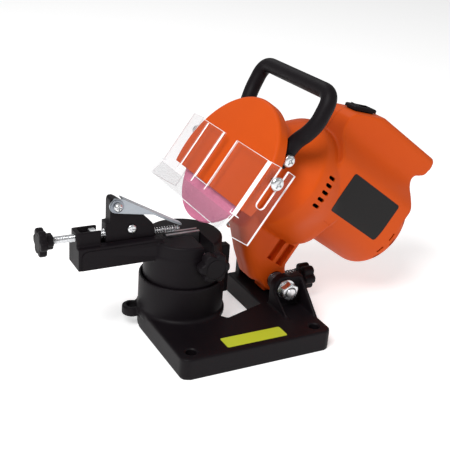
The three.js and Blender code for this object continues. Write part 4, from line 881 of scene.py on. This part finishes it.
limb_outline = [
    (42, 0), (42, -36), (56.3, -48.5), (65.1, -56), (81.6, -67.7),
    *arc(hinge_u, hinge_v, 10.6, -RIGHT_ANGLE * 4 / 3, RIGHT_ANGLE * 0.66, 16), (99.6, -42.3), (99.6, 0),
]
limb_half, limb_round = 16, 9
limb_rings = []
for turn in quarter(8):
    draw_in = limb_round * (1 - sin(turn))
    front = [(p + draw_in * 0.62, q + draw_in * 0.78) for p, q in limb_outline[1:5]]
    outline = [limb_outline[0], *front, *limb_outline[5:]]
    limb_rings.append((limb_half - limb_round * (1 - cos(turn)), outline))
limb_rings = [(-y, outline) for y, outline in limb_rings] + limb_rings[::-1]
heel_block = block(-5.3, 8.4, -8, 8, 18.2, hinge_z)
heel_block.data.transform(HEAD.inverted())
handle_u, handle_screw_v = 18.4, 27
housing = joined(
    case_form(), barrel_form(), lofted("y", limb_rings), heel_block,
    rod("y", 6, -32.1, 32.1, handle_u, handle_screw_v),
)
moulded(housing, 1.0, 12)
vent_pocket = worked(case_form(1.1), "INTERSECT", [block(59.2, 68.8, -50, -30, 5.5, 41.5)])
hollow = joined(case_form(wall), barrel_form(wall), vent_pocket)
bulkheads = [block(98, 105, -41, 41, -40, 78), block(153, 159.4, -40, 40, -12.3, 67.5)]
carved(hollow, *bulkheads, rod("x", 14.5, case_front, case_front + 9.6, 0, 0))
capsule_half, capsule_radius = 2.6, 1.4
capsule = [
    *arc(0, capsule_half, capsule_radius, 0, pi, 8), *arc(0, -capsule_half, capsule_radius, pi, 2 * pi, 8),
]
vent_pattern = drawn("y", [(q, p) for p, q in capsule], -49, -41)
vents = set_of(vent_pattern, [(64, 0, 35.6 - 6.1 * i) for i in range(5)], orange_plastic, straight)
dot_places = [(89 + 3.4 * i, 0, 5.2 - 0.1 * i) for i in range(5)]
dot_row = set_of(rod("y", 0.45, -41, -30, steps=12), dot_places, orange_plastic, straight)
pocket = drawn("y", rounded(-3.5, 3.5, -10.05, 10.05, 0.8), -17, -10)
limb_pockets = set_of(pocket, [(92.6, 0, -35.35), (82.1, 0, -35.35)], orange_plastic, straight)
# Each row of dashes: its place along the barrel and the turns of its dashes about it.
dash_turns = ((157.8, (-0.66, 0.04, 0.40)), (162.2, (-0.95, -0.42, 0.12, 0.58)))
dash_half, dash_wide = 0.09, 1.8
dash_outline = [
    *arc(0, 0, 45, pi - dash_half, pi + dash_half, 6), *arc(0, 0, 30, pi + dash_half, pi - dash_half, 6),
]
end_slots = set_of(
    drawn("x", dash_outline, -dash_wide / 2, dash_wide / 2),
    [(u, 0, barrel_v) for u, turns in dash_turns for _ in turns], orange_plastic,
    [(turn, 0, 0) for _, turns in dash_turns for turn in turns],
)
switch_room = block(-9.6, 9.6, -6.1, 6.1, -14.3, 14)
switch_u, switch_v, switch_tilt = 84, 96.6, radians(-22)
SWITCH = Matrix.Translation(Vector((switch_u, 0, switch_v)) * MM) @ Matrix.Rotation(switch_tilt, 4, "Y")
switch_room.data.transform(SWITCH)
shell_screws = ((52.6, -39.97, limb_half), (101.5, flat_top, barrel_radius), (159, 90.4, spine_half))
gland_u, gland_v, foot_half = 145.5, 40, 38.6
bearing_bore, bush_bore = 11.3, 7.3
carved(
    housing, hollow,
    rod("x", bearing_bore, 11, 106, 0, 0), rod("x", bearing_bore, 97, 160.4, 0, barrel_v),
    rod("y", bush_bore, -limb_half - 1, limb_half + 1, hinge_u, hinge_v),
    switch_room, vents, dot_row, limb_pockets, end_slots,
    rod("y", 2.8, -foot_half, foot_half, handle_u, handle_screw_v, steps=40),
    *[rod("y", 2.3, -12, barrel_radius + 1, u, v, steps=40) for u, v, _ in shell_screws],
    rod("y", 6.3, 0, barrel_radius + 1, gland_u, gland_v),
)
far_shell = housing.copy()
far_shell.data = housing.data.copy()
scene.collection.objects.link(far_shell)
seam = 0.15
worked(housing, "INTERSECT", [block(-20, 200, -80, -seam, -90, 130)])
worked(far_shell, "INTERSECT", [block(-20, 200, seam, 80, -90, 130)])
fitted(leaned(housing), "near_shell_moulding", orange_plastic, "head", "housing_near_shell")
fitted(leaned(far_shell), "far_shell_moulding", orange_plastic, "head", "housing_far_shell")
for number, (u, v, face) in enumerate(shell_screws, 1):
    pan = set_of(pan_head(3.6, 2, 2, face - 0.3), [(u, face + SEAT, v)], zinc, away)
    fitted(leaned(pan), f"shell_screw_pan_{number}", zinc, "head", f"shell_screw_{number}")

# Nameplate: a dark plastic foil with rounded corners, wrapped on the barrel's near side. Rays cast on the
# finished shell give its curve, so that it lies on the skin everywhere.
plate_foil = textured(
    "nameplate foil", (0.009, 0.008, 0.008), (0.014, 0.013, 0.013), 0.42, 500, 0.00002,
    shine=0.15,
)
foil_u0, foil_u1, foil_v0, foil_v1, foil_corner = 84.4, 144.2, 15.2, 50.3, 2.2


def foil_reach(v):
    """How far the foil runs in from its ends at a height, for its rounded corners."""
    into = max(0, foil_corner - min(v - foil_v0, foil_v1 - v))
    return foil_corner - sqrt(max(0, foil_corner**2 - into**2))


corner_rows = (0, 0.2, 0.6, 1.2, foil_corner)
straight_rows, foil_columns = 14, 16
foil_rows = [foil_v0 + row for row in corner_rows]
foil_rows += [
    foil_v0 + foil_corner + (foil_v1 - foil_v0 - 2 * foil_corner) * i / straight_rows
    for i in range(1, straight_rows + 1)
]
foil_rows += [foil_v1 - row for row in corner_rows[-2::-1]]
foil_over, foil_under = 0.22, 0.6
shell_skin = BVHTree.FromObject(housing, bpy.context.evaluated_depsgraph_get())
foil_points = []
for v in foil_rows:
    under = []
    for column in range(foil_columns + 1):
        u = foil_u0 + foil_reach(v) + (foil_u1 - foil_u0 - 2 * foil_reach(v)) * column / foil_columns
        seen_from = HEAD @ (Vector((u, -2 * barrel_radius, v)) * MM)
        under.append((u, shell_skin.ray_cast(seen_from, Vector((0, 1, 0)))[0].y / MM))
    foil_points += [(u, y - foil_over, v) for u, y in under]
    foil_points += [(u, y + foil_under, v) for u, y in reversed(under)]
fitted(leaned(skinned(foil_points, 2 * (foil_columns + 1))), "motor_nameplate", plate_foil, "head")

# Wheel guard: an orange hood over the wheel with a rounded rim, open below its chord, closed behind by
# a flat plate of the same moulding stuff.
guard_radius, guard_y, guard_v, guard_depth, guard_chord = 61, 0.6, -4.5, 9.6, -22


def hood_outline(radius, steps=96):
    drop = asin((guard_chord - guard_v) / radius)
    return arc(guard_y, guard_v, radius, drop, pi - drop, steps)


rim, hood_wall, visor_u, visor_v = 3, 1.6, 7, 8
foot_width = guard_radius - 3.2
hood_rings = [
    (rim * (1 - sin(a)), hood_outline(guard_radius - rim * (1 - cos(a)))) for a in reversed(quarter(10))
]
hood = lofted("x", [*hood_rings, (guard_depth, hood_outline(guard_radius))])
carved(
    hood,
    drawn("x", hood_outline(guard_radius - 2.4), hood_wall, guard_depth + 1),
    block(hood_wall, guard_depth + 1, -foot_width, foot_width, guard_chord - 1.5, guard_chord + 1.5),
    rod("y", 2.7, -guard_radius - 2, guard_radius + 2, visor_u, visor_v, steps=32),
)
fitted(leaned(hood), "wheel_guard_hood", orange_plastic, "head", "wheel_guard")
disc_radius, disc_edge, hub_gap = 58.5, 0.3, 9
back_disc = lofted("x", [
    (guard_depth + along, hood_outline(disc_radius - inset))
    for along, inset in ((SEAT, disc_edge), (0.6, 0), (1.8, 0), (2.1, disc_edge))
])
carved(back_disc, rod("x", hub_gap, guard_depth, guard_depth + 3))
fitted(leaned(back_disc), "guard_back_disc", orange_plastic, "head", "guard_back_plate")


# Grinding wheel: a thin disc of pink bonded grit, pressed between two steel flanges by the nut on the
# spindle. The flanges and the nut keep their CAD solids.
def gritty(start):
    place = start.node("TexCoord", output="Object")
    grit = start.node("TexVoronoi", None, {"Vector": place, "Scale": 900.0})
    fine = noise(start, 420.0, 4.0)
    dark_pits = start.node("ValToRGB", {"stops": ((0.66, 0), (0.72, 1))}, {"Fac": noise(start, 170.0, 1.0)})
    body = (fine * 0.6 + grit * 0.4).between((0.62, 0.14, 0.27), (0.80, 0.28, 0.43))
    return {
        "Base Color": start.node(
            "Mix", {"data_type": "RGBA"}, {0: dark_pits * 0.5, 6: body, 7: (0.50, 0.08, 0.26, 1)}, 2,
        ),
        "Roughness": grit * 0.1 + 0.8,
        "Normal": start.node("Bump", None, {"Strength": 0.6, "Distance": 0.0003, "Height": grit + fine}),
    }


pink_grit = finish_of("pink grit", gritty)
disc_start, disc_end = 5, 8.2
disc = carved(
    rod("x", 50, disc_start, disc_end, soft=0.4, steps=144),
    rod("x", 5.3, disc_start - 1, disc_end + 0.8, steps=48),
)
fitted(leaned(disc), "grinding_disc", pink_grit, "wheel_set", "grinding_wheel")

# Carrying handle: one bent black tube of even thickness with rounded knees. Its two feet are screwed on
# the sides of the gear case.
handle_radius, bar_v, handle_half, handle_corner = 6.2, 84.6, 50, 12
knee_v, foot_bend_v, foot_v = 58, 42, 20


def handle_at(y, v):
    return Vector((handle_u - 4 * max(0, v - knee_v) / (bar_v - knee_v), y, v))


def bent(a, b, c, steps=10):
    return [a * (1 - t) ** 2 + b * 2 * t * (1 - t) + c * t * t for t in [i / steps for i in range(steps + 1)]]


soft = handle_corner * 0.7
out, up = soft * 0.7, soft * 0.8
foot_bend, foot_end = handle_at(foot_half, foot_bend_v), handle_at(foot_half + out, foot_bend_v + up)
near_half = [
    handle_at(foot_half, foot_v), handle_at(foot_half, foot_v + 8),
    *bent(handle_at(foot_half, foot_bend_v - soft), foot_bend, foot_end),
    *bent(foot_end, handle_at(handle_half, knee_v), handle_at(handle_half, knee_v + soft))[1:],
    *bent(handle_at(handle_half, bar_v - handle_corner), handle_at(handle_half, bar_v),
          handle_at(handle_half - handle_corner, bar_v), 14),
]
handle_path = near_half + [Vector((p.x, -p.y, p.z)) for p in reversed(near_half)]
handle_sides = 28
handle_points = []
for i, spot in enumerate(handle_path):
    run = (handle_path[min(i + 1, len(handle_path) - 1)] - handle_path[max(i - 1, 0)]).normalized()
    side = Vector((1, 0, 0))
    side = (side - run * side.dot(run)).normalized()
    over = run.cross(side)
    reach = handle_radius if 0 < i < len(handle_path) - 1 else handle_radius - 0.9
    handle_points += [
        tuple(spot + side * reach * cos(a) + over * reach * sin(a))
        for a in [2 * pi * k / handle_sides for k in range(handle_sides)]
    ]
handle = skinned(handle_points, handle_sides)
moulded(handle, 0.8, 2)
foot_holes = [rod("y", 2.8, low, low + 40, handle_u, handle_screw_v, steps=32) for low in (-60, 20)]
carved(handle, *foot_holes)
fitted(leaned(handle), "carry_handle_tube", black_plastic, "head", "carry_handle")


def screw_pair(kind, sizes, u, face, v):
    """One cross headed screw on each side of the head, driven inwards."""
    for side_name, side, turn in (("near", -1, to_user), ("far", 1, away)):
        pan = set_of(pan_head(*sizes), [(u, side * face, v)], zinc, turn)
        fitted(leaned(pan), f"{kind}_screw_{side_name}_pan", zinc, "head", f"{kind}_screw_{side_name}")


handle_face, thread_end = foot_half + handle_radius + SEAT, 22.3
screw_pair("handle", (5, 3.4, 2.5, handle_face - thread_end), handle_u, handle_face, handle_screw_v)

# Visor: one bent sheet of clear acrylic with a flared lip, side flaps slotted for its screws, raised
# ribs and a notch in its top. Its cut edges, rib flanks and the bands of its corner folds carry a
# painted highlight: a near-white finish that glows faintly.


def clear_sheet(start):
    return {"Roughness": noise(start, 45.0, 2.0) * 0.05 + 0.03}


def clear_finish(label, sheen, least, grey):
    """Clear acrylic that lets light through and shines more where it is seen at a slant."""
    made = finish_of(label, clear_sheet, {"Base Color": grey, "Metallic": 1.0})
    tree = made.node_tree
    glance = Grain(tree).node("LayerWeight", None, {"Blend": 0.5}, "Facing")
    see_through = glance.node("BsdfTransparent", None, {"Color": (0.97, 0.968, 0.97, 1)})
    clear_mix = glance.node("MixShader", None, {
        0: glance * glance * glance * sheen + least, 1: see_through,
        2: tree.nodes["Principled BSDF"].outputs[0],
    })
    filled(tree, tree.nodes["Material Output"], {"Surface": clear_mix})
    return made


acrylic = clear_finish("clear acrylic", 0.28, 0.015, (0.93, 0.95, 0.97, 1))
lip_acrylic = clear_finish("curled acrylic", 0.24, 0.14, (0.62, 0.62, 0.64, 1))


# Painted highlight: a near-white finish with a faint glow, put on the visor's cut edges, rib flanks and fold
# bands.
def painted_highlight_paint(start):
    cloud = noise(start, 160.0, 2.0)
    return {"Base Color": cloud.between((0.86, 0.88, 0.90), (1, 1, 1)), "Roughness": cloud * 0.2 + 0.1}


# The painted highlight's material also glows faintly (emission), on top of its near-white colour.
painted_highlight = finish_of("acrylic painted highlight", painted_highlight_paint, {
    "Emission Color": (1, 1, 1, 1), "Emission Strength": 0.12,
})
sheet_half, sheet_thick, sheet_out = 64.2, 2, -6.6
sheet_in = sheet_out - sheet_thick
sheet_top, sheet_bend, lip_u, lip_v, flap_back, flap_top = 18.5, -26, -12, -41, 18, 20
fold, lip_start = 5.6, sheet_bend - 2.7
face_sheet = drawn("y", [
    (sheet_out, sheet_top), (sheet_in, sheet_top), (sheet_in, sheet_bend + 3),
    (sheet_in - 0.1, sheet_bend), (sheet_in - 0.5, sheet_bend - 2.6), (lip_u, lip_v),
    (lip_u + 1.1, lip_v - 0.9), (lip_u + sheet_thick, lip_v - 1), (sheet_out - 0.5, sheet_bend - 3.0),
    (sheet_out, sheet_bend),
], -sheet_half, sheet_half)


def flap(side):
    y0, y1 = sorted((side * sheet_half, side * (sheet_half - sheet_thick)))
    return drawn("y", [
        (sheet_in, sheet_top), (sheet_in, sheet_bend), (lip_u, lip_v), (lip_u + sheet_thick, lip_v - 1),
        (flap_back, lip_v), (flap_back, flap_top), (visor_u, flap_top),
    ], y0, y1)


sheet = joined(face_sheet, flap(-1), flap(1))
for side in (-1, 1):
    corner = [
        (sheet_in - 14, side * (sheet_half + 3)), (sheet_in - 14, side * (sheet_half - fold)),
        *[
            (sheet_in + fold - fold * cos(a), side * (sheet_half - fold + fold * sin(a)))
            for a in quarter(8)
        ],
        (sheet_in + fold, side * (sheet_half + 3)),
    ]
    carved(sheet, drawn("z", corner, sheet_bend - 1, 30))
slot_outline = rounded(3.6, 10.4, -14, 26, 3.1)
carved(
    sheet, *[drawn("y", slot_outline, low, low + 5) for low in (-66, 61)],
    block(sheet_in - 3, sheet_out + 1, -13.6, 5.5, -22, sheet_top + 1),
)
changed(
    sheet, "BEVEL", width=0.36 * MM, segments=1, use_clamp_overlap=False, limit_method="ANGLE",
    angle_limit=radians(60),
)
settled(sheet)
rib_sizes = ((32.0, 34.8, 0.7, -29, 17.6), (5.9, 8.6, 0.7, -27, 17.9), (-15.4, -14.1, 0.5, -26, 17.9))
rib_foot = 0.4
ribs = [
    drawn("z", [
        (sheet_in + rib_foot, y0 - rib_foot), (sheet_in - slant, y0 + slant),
        (sheet_in - slant, y1 - slant), (sheet_in + rib_foot, y1 + rib_foot),
    ], low, high)
    for y0, y1, slant, low, high in rib_sizes
]
joined(sheet, *ribs)
# The sheet's three looks: clear acrylic, the painted highlight, and the curled lip's acrylic.
CLEAR, PAINTED_HIGHLIGHT, LIP = range(3)
lip_way = Vector((sheet_bend - lip_v, 0, lip_u - sheet_in)).normalized()


def mark_of(facet):
    """Which look a facet of the sheet takes: cut edges, ribs and the bands of the corner folds get the
    painted highlight.
    """
    turn = facet.normal
    u, y, v = facet.center / MM
    # On the corner folds, the slanted band where a lamp's reflection would lie gets the painted highlight.
    if abs(y) > sheet_half - fold and u < sheet_in + fold and abs(turn.z) < 0.3:
        return PAINTED_HIGHLIGHT if 0.6 < abs(turn.x) < 0.9 else CLEAR
    if abs(y) > sheet_half - sheet_thick - 0.1:
        broad, least = abs(turn.y), -1
    elif v < lip_start:
        broad, least = abs(turn.dot(lip_way)), -1
    else:
        broad, least = abs(turn.x), 0.3
    # Cut edges, rib flanks and other slanted faces in this range get the painted highlight.
    if least < broad < 0.85:
        return PAINTED_HIGHLIGHT
    return LIP if v < lip_start and abs(turn.y) < 0.5 else CLEAR


marks = [mark_of(facet) for facet in sheet.data.polygons]
fitted(leaned(sheet), "visor_sheet", acrylic, "visor", "visor")
for look in (painted_highlight, lip_acrylic):
    sheet.data.materials.append(look)
sheet.data.polygons.foreach_set("material_index", marks)
screw_pair("visor", (5.2, 2.8, 2.4, 7.6), visor_u, sheet_half + SEAT, visor_v)

# Rocker switch: a black frame snapped in the top of the spine, and the grey rocker that tips in it. Both
# are drawn level and then leaned with the switch's seat.
grey_plastic = textured(
    "grey switch plastic", (0.035, 0.034, 0.037), (0.06, 0.058, 0.062), 0.35, 900, 0.00008,
)


def in_spine(piece):
    piece.data.transform(HEAD @ SWITCH)
    return piece


def frame_ring(inset, corner):
    half_long, half_wide = 11.2 - inset, 7.7 - inset
    return rounded(-half_long, half_long, -half_wide, half_wide, corner)


switch_well = block(-8.6, 8.6, -5.1, 5.1, -7, 4.2)
switch_frame = joined(
    lofted("z", [
        (0.45, frame_ring(0, 1.2)), (2.6, frame_ring(0, 1.2)),
        (3.3, frame_ring(0.6, 1.0)), (3.5, frame_ring(1.3, 1.0)),
    ]),
    block(-9.3, 9.3, -5.8, 5.8, -14, 1.9),
)
carved(switch_frame, switch_well)
fitted(in_spine(switch_frame), "switch_frame", black_plastic, "head", "switch_body")
key_half, key_foot, key_wide, key_edge = 7.7, -5.4, 4.8, 0.3
key_rise = key_half * tan(radians(10))
key_outline = [
    (-key_half, 3.2 + key_rise), (-6.1, key_foot + key_rise), (0, key_foot), (6.1, key_foot + key_rise / 2),
    (key_half, 1.6 - key_rise / 2), (4, 1.15), (0, 1.85), (-4, 2.9),
]
key_inner = [(x * 0.97, z * 0.97) for x, z in key_outline]
key = edged("y", key_outline, key_inner, -key_wide, key_wide, key_edge)
fitted(in_spine(key), "switch_key", grey_plastic, "rocker", "switch_rocker")

# Cable gland: a black sleeve on the far side of the barrel, where the mains lead would enter. It is
# turned from one profile with three ribs.
gland_face = barrel_radius + SEAT
gland_rings = [(34.6, 6), (gland_face - 0.05, 6)]
gland_rings += [(gland_face, 8.5), (gland_face + 1.6, 8.5), (gland_face + 2, 8.1)]
gland_rings += [(gland_face + 2.01, 6), (gland_face + 3.2, 5.9)]
for i in range(3):
    start, thin, thick = gland_face + 3.3 + 1.8 * i, 5.1 - 0.2 * i, 5.8 - 0.2 * i
    gland_rings += [(start, thin), (start + 0.8, thin), (start + 0.9, thick), (start + 1.7, thick - 0.1)]
gland_rings.append((gland_face + 9, 5.2))
gland = carved(
    turned("y", gland_rings, gland_u, gland_v, 48), rod("y", 3.2, 30, 60, gland_u, gland_v, steps=32),
)
fitted(leaned(gland), "cable_gland_sleeve", black_plastic, "head", "cable_gland")

# Inside pieces: the spindle with its gear and bearings, the motor's core, bars, brushes and fan, and the
# hidden washers. They keep their CAD solids and get their finishes.


def wound_core(start):
    place = start.node("TexCoord", output="Object")
    sheets = start.node("TexWave", {"bands_direction": "X"}, {
        "Vector": place, "Scale": 320.0, "Distortion": 0.4,
    })
    cloud = noise(start, 90.0, 3.0)
    return {
        "Base Color": (sheets * 0.5 + cloud * 0.5).between((0.09, 0.09, 0.095), (0.24, 0.24, 0.25)),
        "Roughness": cloud * 0.2 + 0.35,
    }


iron = finish_of("core iron", wound_core, {"Metallic": 0.8})
copper = brushed("copper bars", (0.50, 0.19, 0.07), (0.72, 0.32, 0.14), 0.3, 0.6, 0.00008)
carbon = textured("brush carbon", (0.012, 0.012, 0.012), (0.03, 0.03, 0.03), 0.6, 1600, 0.0001)
fan_plastic = textured(
    "fan plastic", (0.20, 0.20, 0.21), (0.27, 0.27, 0.28), 0.45, 900, 0.0001,
)
kept_finishes = (
    (zinc, ("swivel_screw", "swivel_washer", "outer_flange", "inner_flange", "wheel_nut", "hinge_bush")),
    (steel, (
        "spindle", "driven_gear", "motor_pinion", "spindle_bearing_front", "spindle_bearing_rear",
        "motor_bearing_front", "motor_bearing_rear",
    )),
    (iron, ("stator", "armature")),
    (copper, ("commutator",)),
    (carbon, ("brush_near", "brush_far")),
    (fan_plastic, ("cooling_fan",)),
)
for look, names in kept_finishes:
    for node_name in names:
        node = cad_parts[node_name]
        if not node.data.materials:
            node.data.materials.append(look)
        for slot_of_node in node.material_slots:
            slot_of_node.material = look
